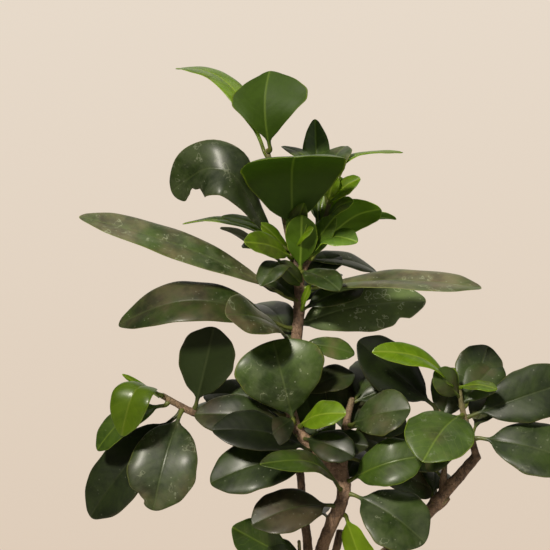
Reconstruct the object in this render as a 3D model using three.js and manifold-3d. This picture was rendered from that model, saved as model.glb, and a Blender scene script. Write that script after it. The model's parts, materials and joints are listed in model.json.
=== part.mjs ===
// A small ficus bonsai: a bulbous root stock with three grafted stems, in a plain round pot of soil.
//
// Millimetres, +Z up. The origin is the centre of the pot's flat underside, +X is to the right and
// +Y is to the back. Stems and leaves are laid out in the crown frame, whose origin is the middle
// of the stock's top, where the stems are grafted on.
import * as THREE from "three";
import { mergeVertices } from "three/addons/utils/BufferGeometryUtils.js";
import Module from "manifold-3d";

const wasm = await Module();
wasm.setup();

// ---------------------------------------------------------------- driving dimensions

const POT_RIM_RADIUS = 74;
const POT_BASE_RADIUS = 52;
const POT_HEIGHT = 62;
const POT_WALL = 5;
const POT_FLOOR = 6;
const LIP_HEIGHT = 7;
const LIP_REACH = 2.6; // how far the lip stands out from the wall
const BASE_CHAMFER = 3;
const DRAIN_HOLES = 3;
const DRAIN_RADIUS = 5.5;
const DRAIN_CIRCLE = 26;
const SCREEN_THICKNESS = 1.2;
const SCREEN_MARGIN = 6; // how far the drain screen reaches past the holes
const SOIL_BELOW_RIM = 8;
const SOIL_CROWN = 3; // how much higher the soil stands at the stock than at the pot's wall
const STOCK_HEIGHT = 58; // above the soil, at the pot's wall
const GAP = 0.3; // clearance between neighbouring pieces

const PETIOLE_RADIUS = 0.8;
const PETIOLE_SHARE = 0.085; // of the leaf's whole length
const BLADE_HALF_THICKNESS = 0.28;

const POT_SEGMENTS = 48;
const STEM_SIDES = 8;
const STOCK_SIDES = 12;
const STEM_STEP = 7; // between a stem's rings
const STOCK_STEP = 12;

const crownHeight = POT_HEIGHT - SOIL_BELOW_RIM + STOCK_HEIGHT;

// ---------------------------------------------------------------- materials

const finish = (color, roughness, metalness = 0) =>
  new THREE.MeshStandardMaterial({ color, roughness, metalness });

const GLAZE = finish(0xcfc8bb, 0.45);
const SCREEN_PLASTIC = finish(0x23262a, 0.6);
const POTTING_SOIL = finish(0x3a2c22, 0.95);
const STOCK_BARK = finish(0x8d7a63, 0.85);
const STEM_BARK = finish(0x5d4636, 0.8);
const OLD_LEAF = finish(0x2d4226, 0.38);
const GREEN_LEAF = finish(0x3f6a26, 0.36);
const YOUNG_LEAF = finish(0x74a52e, 0.34);

// ---------------------------------------------------------------- solids

const point = (p) => new THREE.Vector3(...p);

/** A closed mesh as a manifold-3d solid. */
function solidOf(geometry) {
  const bare = geometry.clone();
  bare.deleteAttribute("normal");
  bare.deleteAttribute("uv");
  const merged = mergeVertices(bare, 1e-4);
  return new wasm.Manifold(
    new wasm.Mesh({
      numProp: 3,
      vertProperties: merged.attributes.position.array,
      triVerts: new Uint32Array(merged.index.array),
    }),
  );
}

/** A manifold-3d solid as a geometry. */
function geometryOf(solid) {
  const mesh = solid.getMesh();
  return new THREE.BufferGeometry()
    .setAttribute("position", new THREE.BufferAttribute(mesh.vertProperties, 3))
    .setIndex(new THREE.BufferAttribute(mesh.triVerts, 1));
}

/** A closed skin over rings of equally many points, with a pole point at each end. */
function loft(firstPole, rings, lastPole) {
  const sides = rings[0].length;
  const vertices = [firstPole, ...rings.flat(), lastPole];
  const last = vertices.length - 1;
  const faces = [];
  for (let side = 0; side < sides; side++) {
    const next = (side + 1) % sides;
    faces.push(0, 1 + next, 1 + side);
    for (let ring = 0; ring < rings.length - 1; ring++) {
      const here = 1 + ring * sides;
      const beyond = here + sides;
      faces.push(here + side, here + next, beyond + next);
      faces.push(here + side, beyond + next, beyond + side);
    }
    const end = 1 + (rings.length - 1) * sides;
    faces.push(last, end + side, end + next);
  }
  return new THREE.BufferGeometry().setFromPoints(vertices).setIndex(faces);
}

/** A solid of revolution about Z from [radius, height] pairs that start and end on the axis. */
function turned(profile, segments = POT_SEGMENTS) {
  const outline = profile.map(([radius, height]) => new THREE.Vector2(radius, height));
  return new THREE.LatheGeometry(outline, segments).rotateX(Math.PI / 2);
}

// ---------------------------------------------------------------- stems

/** A round stem along a smooth route, whose girth changes along its length. */
class Stem {
  /**
   * @param {number[][]} route points of the centre line, in the crown frame
   * @param {number[]} radii the stem's radius at each of them
   * @param {number} sides of its section
   * @param {number} step between its rings
   */
  constructor(route, radii, sides = STEM_SIDES, step = STEM_STEP) {
    this.curve = new THREE.CatmullRomCurve3(route.map(point), false, "centripetal");
    this.radii = radii;
    this.sides = sides;
    this.rings = Math.max(3, Math.round(this.curve.getLength() / step));
  }

  /** The centre line's point at a share of its length. */
  at(share) {
    return this.curve.getPointAt(share);
  }

  /** The radius at a share of the length. */
  radiusAt(share) {
    const place = this.curve.getUtoTmapping(share) * (this.radii.length - 1);
    const before = Math.min(Math.floor(place), this.radii.length - 2);
    return THREE.MathUtils.lerp(this.radii[before], this.radii[before + 1], place - before);
  }

  /** The stem as a solid, swollen by extra all round. */
  solid(extra = 0) {
    const frames = this.curve.computeFrenetFrames(this.rings);
    const rings = frames.tangents.map((_, i) => {
      const share = i / this.rings;
      const radius = this.radiusAt(share) + extra;
      return Array.from({ length: this.sides }, (_, side) => {
        const angle = (side / this.sides) * 2 * Math.PI;
        return this.at(share)
          .addScaledVector(frames.normals[i], radius * Math.cos(angle))
          .addScaledVector(frames.binormals[i], radius * Math.sin(angle));
      });
    });
    return solidOf(loft(this.at(0), rings, this.at(1)));
  }
}

/** A fat root or the body of the stock. Heights are shares of STOCK_HEIGHT, 0 at the crown. */
const fatRoot = (route, radii) =>
  new Stem(
    route.map(([x, y, share]) => [x, y, share * STOCK_HEIGHT]),
    radii,
    STOCK_SIDES,
    STOCK_STEP,
  );

const STOCK_ROOTS = [
  // The body, narrow at the crown and swollen at mid height.
  fatRoot(
    [[1, 0, 0.03], [1, 0, -0.17], [-1, 1, -0.45], [2, -1, -0.76], [4, 0, -1.07], [5, 0, -1.3]],
    [8, 12, 16.5, 18, 15, 7],
  ),
  // Four roots that leave it and go down into the soil.
  fatRoot([[-4, -2, -0.36], [-14, -8, -0.64], [-23, -14, -0.96], [-30, -19, -1.26]], [9, 10, 7.5, 4]),
  fatRoot([[6, -4, -0.4], [15, -14, -0.68], [20, -24, -1], [23, -31, -1.28]], [9, 9.5, 7, 3.5]),
  fatRoot([[5, 5, -0.36], [17, 12, -0.68], [27, 17, -1], [34, 20, -1.28]], [9, 9, 6.5, 3.5]),
  fatRoot([[-4, 6, -0.4], [-10, 17, -0.72], [-15, 26, -1], [-18, 32, -1.28]], [8, 8.5, 6.5, 3]),
];

/** The whole stock, swollen by extra all round. */
const stockSolid = (extra = 0) =>
  STOCK_ROOTS.map((root) => root.solid(extra)).reduce((whole, root) => whole.add(root));

const STEMS = {
  // The middle stem, which leans right, crooks back and carries the tallest shoot.
  leader: new Stem(
    [[1, -1, -4], [3, -3, 28], [8.5, -4, 42], [13.5, -4, 56], [8.5, -2, 65], [-0.5, 0, 73.5],
      [-9, 1, 83], [-11, 2, 95.5], [-9.5, 2, 113.5], [-7.5, 1, 129], [-7, 0, 143],
      [-8.5, 0, 156], [-11.5, 0, 166]],
    [3.6, 3.1, 3, 3, 2.8, 2.8, 2.8, 2.7, 2.6, 2.6, 2.5, 2.2, 1.7],
  ),
  topShoot: new Stem(
    [[-11.3, 0, 165], [-13.5, -1, 175.5], [-17, -2, 190], [-21.5, -3, 208]],
    [1.6, 1.3, 1.2, 1],
  ),
  rightShoot: new Stem(
    [[-7.3, 0, 150], [-2.7, -1, 159.5], [2, -1, 167.5], [4.5, 0, 176.5], [7, 1, 187]],
    [1.8, 1.6, 1.4, 1.2, 1],
  ),
  innerShoot: new Stem([[13, -4, 55], [12.5, -1, 69.5], [14, 2, 83], [17, 4, 96]], [2.7, 2.3, 1.9, 1.4]),
  // The left stem, which rises behind the leader and reaches out to the left.
  left: new Stem(
    [[-4, 5, -4], [-3, 4, 28], [-5.5, 6, 46], [-7, 8, 64], [-12, 8, 73.5], [-24, 7, 79],
      [-39, 4, 84], [-53.5, 0, 89], [-69, -4, 98]],
    [2.6, 2.3, 2, 1.9, 1.8, 1.8, 1.8, 1.8, 1.4],
  ),
  lowTwig: new Stem([[-3, 4, 13], [-6.5, 1, 23.5], [-7.2, -1, 32]], [1.3, 1.1, 0.9]),
  // The right stem, which leans out to the right and forks near its end.
  right: new Stem(
    [[4, 2, -5], [19, 4, 15.5], [38, 4, 28.5], [49.5, 3, 41.5], [61, 2, 55.5], [73.5, 0, 70.5]],
    [3.7, 3.4, 3.2, 3, 2.9, 2.4],
  ),
  rightTop: new Stem([[73, 0, 69.5], [70, 0, 80], [66.5, 0, 91], [65, -1, 102]], [1.9, 1.5, 1.3, 1]),
  rightInner: new Stem([[57.6, 2, 51.5], [59, 4, 65], [59.5, 5, 77.5], [56.5, 5, 90]], [1.7, 1.4, 1.3, 1.1]),
  spur: new Stem([[52.5, 3, 44], [57, 1, 46.5], [61, 0, 51]], [1.3, 1.1, 0.9]),
  stub: new Stem([[2, 7.5, -6], [8, 9, 17], [12, 8, 35]], [2.4, 2.1, 2]),
};

/** Stems grown as one piece, kept clear of the stock. */
function grown(...names) {
  const whole = names.map((name) => STEMS[name].solid()).reduce((sum, stem) => sum.add(stem));
  const parts = whole.subtract(stockSolid(GAP)).decompose();
  return geometryOf(parts.sort((a, b) => b.volume() - a.volume())[0]);
}

// ---------------------------------------------------------------- leaves

const OUTLINE_BASE = 0.8; // exponents of the blade's outline: a wedge at the base, round at the tip
const OUTLINE_TIP = 0.55;
const BLADE_STATIONS = [0.1, 0.25, 0.42, 0.6, 0.77, 0.9, 0.97];
// Across a ring: [share of the half width, share of the half thickness], from one edge over the
// upper side and back under the lower side.
const RING = [[-1, 0], [-0.55, 0.85], [0, 1], [0.55, 0.85], [1, 0], [0.55, -0.85], [0, -1], [-0.55, -0.85]];

/** The blade's half width at a share of its length, as a share of its largest half width. */
function outline(share) {
  const shape = (s) => s ** OUTLINE_BASE * (1 - s) ** OUTLINE_TIP;
  return shape(share) / shape(OUTLINE_BASE / (OUTLINE_BASE + OUTLINE_TIP));
}

/**
 * One leaf, with its stalk.
 *
 * @param {string} stem it grows on
 * @param {number} at which share of the stem's length
 * @param {number[]} reach from there to the leaf's tip
 * @param {number} width of the blade
 * @param {number[]} faces where its upper side looks
 * @param {object} shape bow lifts the midrib towards the upper side, most where peak says (1 is the
 *   middle, more is nearer the tip); sway bends it sideways; fold raises the edges and twist turns
 *   the blade along its length, both in degrees; stalk is the share of the length that is stalk, and
 *   leaves is the side of the stem that it leaves, where that isn't the side of the tip
 */
function leafGeometry(stem, at, reach, width, faces, shape = {}) {
  const { bow = 0, peak = 1, sway = 0, fold = 10, twist = 0, stalk = PETIOLE_SHARE, leaves } = shape;
  const root = STEMS[stem].at(at);
  const tip = root.clone().add(point(reach));
  const up = point(faces).normalize();
  const along = STEMS[stem].curve.getTangentAt(at);
  const chord = tip.clone().sub(root).normalize();
  const lift = up.clone().addScaledVector(chord, -up.dot(chord)).normalize();
  const side = new THREE.Vector3().crossVectors(chord, lift);

  // The stalk starts beside its stem, on the side where the leaf points, or past the stem's end.
  const ahead = chord.clone().addScaledVector(lift, (2 * bow) / tip.distanceTo(root));
  const leaving = (leaves ? point(leaves) : ahead).normalize();
  if (at < 1) leaving.addScaledVector(along, -leaving.dot(along)).normalize();
  const start = root.addScaledVector(leaving, STEMS[stem].radiusAt(at) + PETIOLE_RADIUS + GAP);

  const spine = (u) =>
    new THREE.Vector3()
      .lerpVectors(start, tip, u)
      .addScaledVector(lift, bow * Math.sin(Math.PI * u ** peak))
      .addScaledVector(side, sway * Math.sin(Math.PI * u));
  const ringAt = (u, halfWidth, halfThickness, foldAngle) => {
    const tangent = spine(Math.min(u + 0.01, 1)).sub(spine(Math.max(u - 0.01, 0))).normalize();
    const normal = up.clone().addScaledVector(tangent, -up.dot(tangent)).normalize();
    normal.applyAxisAngle(tangent, THREE.MathUtils.degToRad(twist * u));
    const across = new THREE.Vector3().crossVectors(tangent, normal);
    return RING.map(([a, h]) =>
      spine(u)
        .addScaledVector(across, a * halfWidth * Math.cos(foldAngle))
        .addScaledVector(normal, Math.abs(a) * halfWidth * Math.sin(foldAngle) + h * halfThickness),
    );
  };

  const petiole = [0.15, 1].map((u) => ringAt(u * stalk, PETIOLE_RADIUS, PETIOLE_RADIUS, 0));
  const blade = BLADE_STATIONS.map((share) =>
    ringAt(
      stalk + share * (1 - stalk),
      (width / 2) * outline(share),
      BLADE_HALF_THICKNESS,
      THREE.MathUtils.degToRad(fold),
    ),
  );
  return loft(spine(0), [...petiole, ...blade], spine(1));
}

// Every leaf: its name, its finish and how it grows.
const LEAVES = [
  // The top shoot and the tip of the leader.
  ["top_leaf_front", GREEN_LEAF, "topShoot", 0.98, [1, 1, 36], 40, [0.4, 1, 0.2],
    { bow: -6, peak: 1.1, fold: 20 }],
  ["top_leaf_left", YOUNG_LEAF, "topShoot", 0.93, [-44, 50, 43], 14.5, [-0.1, -0.1, 1], { bow: 15, fold: 8 }],
  ["top_leaf_broad", GREEN_LEAF, "leader", 0.995, [3, -52, 38], 47, [-0.1, 0.75, 0.65], { bow: 17, fold: 2 }],
  ["top_leaf_back", GREEN_LEAF, "rightShoot", 0.6, [-3, 14, 51], 14, [0.3, -1, 0.2], { fold: 14 }],
  ["top_leaf_right", YOUNG_LEAF, "rightShoot", 1, [33, 6, 20], 13, [-0.3, -0.2, 1], { bow: 10, peak: 0.7 }],
  ["crown_leaf_folded", GREEN_LEAF, "leader", 0.93, [2, -13, 25], 15, [0.15, 1, 0.3], { fold: 12 }],
  ["crown_leaf_right", GREEN_LEAF, "rightShoot", 0.5, [27, -6, 14], 20, [-0.3, 0.8, 0.6], { bow: 5 }],
  ["crown_leaf_arched", GREEN_LEAF, "rightShoot", 0.36, [38, 12, 14], 15, [-0.2, 0.3, 1], { bow: 9 }],
  ["crown_leaf_curled", GREEN_LEAF, "rightShoot", 0.27, [21, -14, 7], 14, [0, -0.2, 1],
    { bow: 6, twist: 35 }],
  ["crown_leaf_grey", OLD_LEAF, "leader", 0.95, [38, 24, -5], 17, [0, -0.55, 0.85], { bow: 4 }],
  ["crown_leaf_long_right", OLD_LEAF, "leader", 0.885, [80, -18, 1], 26, [0, -0.35, 1], { bow: 4 }],
  ["crown_leaf_bitten", OLD_LEAF, "leader", 0.985, [-54, 1, 26], 29, [0.2, -0.7, 0.7],
    { bow: 27, peak: 1.8 }],
  ["crown_leaf_slim", YOUNG_LEAF, "leader", 0.975, [-50, 8, 13], 10, [0, -0.2, 1], { bow: 8 }],
  ["crown_leaf_shaded", OLD_LEAF, "leader", 0.93, [-35, 10, 19], 18, [0.1, 0.3, 1], { bow: 3 }],
  ["crown_leaf_small", YOUNG_LEAF, "leader", 0.965, [-22, -23, 7], 14, [-0.3, -0.9, 0.5], { bow: 3 }],
  ["crown_leaf_long_left", OLD_LEAF, "leader", 0.86, [-98, -10, 37], 24, [0.2, -0.5, 0.8], { bow: 5 }],
  ["crown_leaf_low_right", OLD_LEAF, "leader", 0.925, [18, -24, -7], 15, [0.2, -0.8, 0.6], { bow: 3 }],
  ["crown_leaf_low_left", OLD_LEAF, "leader", 0.935, [-16, -20, -7], 14, [-0.3, -0.7, 0.7], { bow: 6 }],
  // The middle of the leader.
  ["middle_leaf_right", OLD_LEAF, "leader", 0.785, [59, 15, 12], 25, [0, -0.85, 0.5],
    { sway: -4, fold: -3, stalk: 0.04, leaves: [-0.6, 0.8, 0] }],
  ["middle_leaf_left", OLD_LEAF, "leader", 0.785, [-81, 1, 2], 26, [0.1, -0.7, 0.7], { bow: 17, peak: 1.1 }],
  ["middle_leaf_awning", OLD_LEAF, "leader", 0.75, [-31, -31, 14.5], 26, [0, -0.5, 0.85], { bow: 5 }],
  ["middle_leaf_front", OLD_LEAF, "leader", 0.55, [-9, -8, 38], 42, [-0.1, -0.9, 0.4],
    { bow: 7, peak: 1.3 }],
  ["middle_leaf_hidden", OLD_LEAF, "leader", 0.57, [-40, 10, 8], 18, [0, -0.7, 0.7], { bow: 7 }],
  ["middle_leaf_brown", OLD_LEAF, "leader", 0.52, [-47, -4, 9], 22, [0, -0.75, 0.6], { bow: 8 }],
  ["middle_leaf_glossy", OLD_LEAF, "leader", 0.47, [-45, -17, 10], 23, [0, -0.7, 0.7], { bow: 6 }],
  ["middle_leaf_drooping", OLD_LEAF, "leader", 0.44, [-50, -14, -10], 27, [-0.1, -0.8, 0.6], { bow: 8 }],
  ["middle_leaf_bright", YOUNG_LEAF, "leader", 0.535, [22, -20, 9], 15, [-0.3, -0.7, 0.6], { bow: 4 }],
  ["middle_leaf_dark", OLD_LEAF, "leader", 0.62, [29, 4, 9], 16, [0, -0.7, 0.7], { bow: 3 }],
  ["middle_leaf_under", OLD_LEAF, "leader", 0.49, [27, -8, -1], 16, [0, -0.7, 0.7]],
  // The crook of the leader and the inner shoot.
  ["crook_leaf_left", GREEN_LEAF, "leader", 0.34, [-38, -28, 15], 15, [0.1, -0.6, 0.8], { bow: 9 }],
  ["crook_leaf_low", OLD_LEAF, "leader", 0.29, [-39, -16, -5], 25, [-0.1, -0.7, 0.7], { bow: 5 }],
  ["crook_leaf_hanging", YOUNG_LEAF, "leader", 0.28, [13, 2, -28], 17, [0.5, 0.7, 0.3]],
  ["crook_leaf_broad", OLD_LEAF, "leader", 0.33, [35, -14, -20], 32, [0.35, -0.8, 0.4], { bow: 4 }],
  ["crook_leaf_right", GREEN_LEAF, "innerShoot", 0.1, [35, -12, 13], 23, [-0.1, -0.85, 0.5], { bow: 5 }],
  ["inner_leaf_olive", OLD_LEAF, "innerShoot", 0.35, [44, 14, -18], 19, [0, -0.8, 0.6], { bow: 3 }],
  ["inner_leaf_grey", OLD_LEAF, "innerShoot", 0.7, [28, -16, 9], 24, [0, -0.8, 0.6], { bow: 3 }],
  // The low twig.
  ["low_leaf_upright", GREEN_LEAF, "lowTwig", 0.5, [-31, -10, 17], 19, [-0.2, -0.9, 0.4]],
  // The left stem.
  ["left_leaf_upright", OLD_LEAF, "left", 0.885, [10, -6, 39], 26, [0.1, 0.9, 0.3]],
  ["left_leaf_tip", YOUNG_LEAF, "left", 1, [-16, -20, -16], 20, [-0.3, -0.8, 0.5], { bow: 15 }],
  ["left_leaf_paired", GREEN_LEAF, "left", 0.97, [-32, -6, -22], 17, [-0.5, -0.7, 0.5], { bow: 7 }],
  ["left_leaf_far", OLD_LEAF, "left", 0.92, [-42, 2, -50], 28, [-0.4, -0.85, 0.3], { bow: 6 }],
  ["left_leaf_near", OLD_LEAF, "left", 0.92, [-12, -22, -43], 32, [-0.1, -0.9, 0.3], { bow: 6 }],
  // The right stem.
  ["right_leaf_near", GREEN_LEAF, "rightTop", 0.6, [-21, -32, -17], 32, [-0.1, -0.75, 0.65], { bow: 6 }],
  ["right_leaf_low", OLD_LEAF, "rightTop", 0.25, [47, -10, -9], 29, [0, -0.8, 0.6], { bow: 3 }],
  ["right_leaf_high", OLD_LEAF, "rightTop", 0.55, [50, 2, 17], 27, [0, -0.9, 0.4], { bow: 2 }],
  ["right_leaf_back", OLD_LEAF, "rightTop", 0.7, [13, 12, 27], 23, [0.2, -0.8, 0.4]],
  ["right_leaf_inner", OLD_LEAF, "rightInner", 1, [-37, -4, 32], 26, [0.1, -0.8, 0.5]],
  ["right_leaf_bright", YOUNG_LEAF, "rightTop", 0.97, [-40, -10, 17], 14, [0.1, -0.45, 0.9], { bow: 7 }],
  // Leaves that point to the back.
  ["back_leaf_upper", OLD_LEAF, "leader", 0.835, [10, 45, 8], 24, [0, -0.2, 1], { bow: 5 }],
  ["back_leaf_middle", OLD_LEAF, "leader", 0.6, [-18, 42, 4], 24, [0, -0.2, 1], { bow: 5 }],
  ["back_leaf_left", OLD_LEAF, "left", 0.7, [-8, 38, 8], 24, [0, -0.2, 1], { bow: 5 }],
  ["back_leaf_inner", OLD_LEAF, "innerShoot", 0.9, [8, 38, 6], 22, [0, -0.2, 1], { bow: 5 }],
];

// ---------------------------------------------------------------- pot, screen and soil

/** The pot's inside radius at a height above its underside. */
function insideRadius(height) {
  const share = height / POT_HEIGHT;
  return THREE.MathUtils.lerp(POT_BASE_RADIUS, POT_RIM_RADIUS - LIP_REACH, share) - POT_WALL;
}

function potGeometry() {
  const wallTop = POT_HEIGHT - LIP_HEIGHT;
  const outside = (height) => insideRadius(height) + POT_WALL;
  const lip = outside(wallTop) + LIP_REACH;
  const edge = 1.5; // the softened edges of the lip
  const body = turned([
    [0, 0],
    [outside(0) - BASE_CHAMFER, 0],
    [outside(BASE_CHAMFER), BASE_CHAMFER],
    [outside(wallTop - LIP_REACH), wallTop - LIP_REACH],
    [lip, wallTop + edge],
    [POT_RIM_RADIUS, POT_HEIGHT - edge],
    [POT_RIM_RADIUS - edge, POT_HEIGHT],
    [insideRadius(POT_HEIGHT) + edge, POT_HEIGHT],
    [insideRadius(POT_HEIGHT), POT_HEIGHT - edge],
    [insideRadius(POT_FLOOR + BASE_CHAMFER), POT_FLOOR + BASE_CHAMFER],
    [insideRadius(POT_FLOOR) - BASE_CHAMFER, POT_FLOOR],
    [0, POT_FLOOR],
  ]);
  let pot = solidOf(body);
  for (let hole = 0; hole < DRAIN_HOLES; hole++) {
    const angle = Math.PI / 2 + (hole / DRAIN_HOLES) * 2 * Math.PI;
    const drill = new THREE.CylinderGeometry(DRAIN_RADIUS, DRAIN_RADIUS, 3 * POT_FLOOR, 20)
      .rotateX(Math.PI / 2)
      .translate(DRAIN_CIRCLE * Math.cos(angle), DRAIN_CIRCLE * Math.sin(angle), 0);
    pot = pot.subtract(solidOf(drill));
  }
  return geometryOf(pot);
}

const screenBottom = POT_FLOOR + GAP;
const screenTop = screenBottom + SCREEN_THICKNESS;
const screenRadius = DRAIN_CIRCLE + DRAIN_RADIUS + SCREEN_MARGIN;

const screenGeometry = () =>
  turned([[0, screenBottom], [screenRadius, screenBottom], [screenRadius, screenTop], [0, screenTop]], 32);

function soilGeometry() {
  const bottom = screenTop + GAP;
  const shoulder = POT_FLOOR + BASE_CHAMFER + SCREEN_THICKNESS;
  const surface = POT_HEIGHT - SOIL_BELOW_RIM;
  const soil = turned(
    [
      [0, bottom],
      [insideRadius(bottom) - BASE_CHAMFER - GAP, bottom],
      [insideRadius(shoulder) - GAP, shoulder],
      [insideRadius(surface) - GAP, surface],
      [insideRadius(surface) * 0.8, surface + SOIL_CROWN * 0.3],
      [insideRadius(surface) * 0.5, surface + SOIL_CROWN],
      [0, surface + SOIL_CROWN],
    ],
    36,
  );
  const hole = stockSolid(GAP).translate([0, 0, crownHeight]);
  return geometryOf(solidOf(soil).subtract(hole));
}

// ---------------------------------------------------------------- assembly

const bonsai = new THREE.Group();

/** Adds one named piece to a group. */
function place(group, name, geometry, material) {
  const mesh = new THREE.Mesh(geometry, material);
  mesh.name = name;
  group.add(mesh);
}

place(bonsai, "pot", potGeometry(), GLAZE);
place(bonsai, "drain_screen", screenGeometry(), SCREEN_PLASTIC);
place(bonsai, "soil", soilGeometry(), POTTING_SOIL);

const crown = new THREE.Group();
crown.position.z = crownHeight;
bonsai.add(crown);
place(crown, "root_stock", geometryOf(stockSolid()), STOCK_BARK);
place(crown, "middle_stem", grown("leader", "topShoot", "rightShoot", "innerShoot"), STEM_BARK);
place(crown, "left_stem", grown("left", "lowTwig"), STEM_BARK);
place(crown, "right_stem", grown("right", "rightTop", "rightInner", "spur"), STEM_BARK);
place(crown, "cut_stub", grown("stub"), STEM_BARK);
for (const [name, material, ...growth] of LEAVES) place(crown, name, leafGeometry(...growth), material);

export default bonsai;
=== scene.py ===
"""A small ficus bonsai in a round glazed pot, with its light, floor and camera.

Every size is in metres, unless its name or its class says that it is in millimetres. Leaves and
wood take their places from the frame's nodes. The crown point is the middle of the root stock's
top, where the stems are grafted.
"""

import json
import logging
import math
from collections.abc import Callable, Sequence
from dataclasses import dataclass, field
from enum import Enum

import bmesh
import bpy
import numpy as np
from mathutils import Matrix, Vector, noise
from mathutils.bvhtree import BVHTree


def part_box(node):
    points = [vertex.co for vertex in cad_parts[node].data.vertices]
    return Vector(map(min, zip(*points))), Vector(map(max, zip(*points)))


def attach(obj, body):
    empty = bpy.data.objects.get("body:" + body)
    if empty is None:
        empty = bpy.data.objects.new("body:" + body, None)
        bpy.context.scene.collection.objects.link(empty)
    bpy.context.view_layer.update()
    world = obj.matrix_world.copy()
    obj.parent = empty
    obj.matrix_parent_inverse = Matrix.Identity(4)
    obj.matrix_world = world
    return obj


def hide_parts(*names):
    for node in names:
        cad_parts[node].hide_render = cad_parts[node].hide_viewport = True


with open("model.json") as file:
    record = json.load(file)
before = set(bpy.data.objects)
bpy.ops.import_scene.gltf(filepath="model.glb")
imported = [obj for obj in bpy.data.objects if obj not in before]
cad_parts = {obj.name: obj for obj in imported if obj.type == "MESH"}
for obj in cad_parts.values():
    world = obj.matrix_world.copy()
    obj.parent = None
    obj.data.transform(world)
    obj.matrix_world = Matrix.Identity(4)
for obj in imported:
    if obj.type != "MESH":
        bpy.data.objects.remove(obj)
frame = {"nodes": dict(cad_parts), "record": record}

log = logging.getLogger("bonsai")
BODY = "root"
MM = 0.001
STOCK_DOME = 1.7 * MM  # how far the stock's highest point stands above the crown point

Vec3 = tuple[float, float, float]
Colour = tuple[float, float, float]
Socket = bpy.types.NodeSocket


class Age(Enum):
    """How old a leaf is, which sets its finish. The values are the record's material slots."""

    OLD = "old_leaf"
    GREEN = "green_leaf"
    YOUNG = "young_leaf"


class Edge(Enum):
    """An edge of a leaf, seen from its stalk with the upper side up. The values are signs."""

    LEFT = -1
    RIGHT = 1


# ------------------------------------------------------------------------------ small tools


def read(items: bpy.types.bpy_prop_collection, name: str, width: int, kind: type) -> np.ndarray:
    """Reads a property of all of a mesh's corners, faces or loops.

    Args:
        items: the mesh's corners, faces or loops.
        name: the property's name.
        width: how many numbers it has.
        kind: their type.

    Returns:
        One row for each item.
    """
    rows = np.empty(len(items) * width, kind)
    items.foreach_get(name, rows)
    return rows.reshape(-1, width)


def corners(name: str) -> tuple[np.ndarray, np.ndarray]:
    """A CAD node's corners, with doubles merged to the micrometre, and its triangles.

    Args:
        name: the node's name.

    Returns:
        The points, one row each, and three point numbers for each triangle.
    """
    mesh = frame["nodes"][name].data
    places = read(mesh.vertices, "co", 3, np.float32).astype(float)
    triangles = read(mesh.polygons, "vertices", 3, np.int32)
    keys = np.round(places * 1e6).astype(np.int64)
    unique, inverse = np.unique(keys, axis=0, return_inverse=True)
    return unique / 1e6, inverse.reshape(-1)[triangles]


def unit(rows: np.ndarray) -> np.ndarray:
    """Vectors, one per row or a single one, brought to length one."""
    return rows / np.maximum(np.linalg.norm(rows, axis=-1, keepdims=True), 1e-12)


def smooth_between(knots: np.ndarray, values: np.ndarray, where: np.ndarray) -> np.ndarray:
    """Values on a smooth curve through known ones.

    Args:
        knots: where the values are known, rising.
        values: one row for each knot.
        where: where they are wanted, within the knots.

    Returns:
        One row for each place wanted.
    """
    values = values.reshape(len(knots), -1)
    slope = np.gradient(values, knots, axis=0)
    cell = np.clip(np.searchsorted(knots, where, side="right") - 1, 0, len(knots) - 2)
    span = (knots[cell + 1] - knots[cell])[:, None]
    t = ((where - knots[cell])[:, None]) / span
    return (
        (2 * t**3 - 3 * t**2 + 1) * values[cell]
        + (t**3 - 2 * t**2 + t) * span * slope[cell]
        + (3 * t**2 - 2 * t**3) * values[cell + 1]
        + (t**3 - t**2) * span * slope[cell + 1]
    )


def ease(value: np.ndarray, low: float, high: float) -> np.ndarray:
    """A soft step.

    Args:
        value: the values to judge.
        low: where the step begins.
        high: where it ends.

    Returns:
        0 at low and below it, 1 at high and above it.
    """
    t = np.clip((value - low) / (high - low), 0, 1)
    return t * t * (3 - 2 * t)


def placed(name: str, data: bpy.types.ID | None) -> bpy.types.Object:
    """Puts a mesh, a light or a camera in the scene.

    Args:
        name: the object's name.
        data: what it shows or does.

    Returns:
        The object.
    """
    made = bpy.data.objects.new(name, data)
    bpy.context.scene.collection.objects.link(made)
    return made


def face_along(thing: bpy.types.Object, ahead: Vector) -> None:
    """Turns a light or a camera to look along a direction."""
    thing.rotation_mode = "QUATERNION"
    thing.rotation_quaternion = ahead.to_track_quat("-Z", "Y")


def new_piece(name: str, points: np.ndarray, faces: Sequence, smooth: bool = True) -> bpy.types.Object:
    """A mesh object in the scene.

    Args:
        name: the piece's name.
        points: its corners, one row each.
        faces: corner numbers of each face.
        smooth: whether its faces are shaded smooth.

    Returns:
        The object.
    """
    mesh = bpy.data.meshes.new(name)
    mesh.from_pydata(np.asarray(points).tolist(), [], [list(map(int, f)) for f in faces])
    mesh.update()
    mesh.polygons.foreach_set("use_smooth", [smooth] * len(mesh.polygons))
    return placed(name, mesh)


def tube_faces(rings: int, around: int) -> tuple[np.ndarray, np.ndarray]:
    """The faces between rings of points that follow one another.

    Args:
        rings: how many rings there are.
        around: how many points each ring has.

    Returns:
        The point numbers ring by ring, and four of them for each face.
    """
    grid = np.arange(rings * around).reshape(rings, around)
    near, far = grid[:-1], grid[1:]
    faces = np.stack([near, np.roll(near, -1, 1), np.roll(far, -1, 1), far], -1)
    return grid, faces.reshape(-1, 4)


def store(mesh: bpy.types.Mesh, name: str, rows: np.ndarray) -> None:
    """Keeps a vector for each corner of a mesh, for its material to read.

    Args:
        mesh: the mesh.
        name: the name that the material asks for.
        rows: one vector for each corner.
    """
    layer = mesh.attributes.new(name, "FLOAT_VECTOR", "POINT")
    layer.data.foreach_set("vector", np.asarray(rows, np.float32).ravel())


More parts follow.
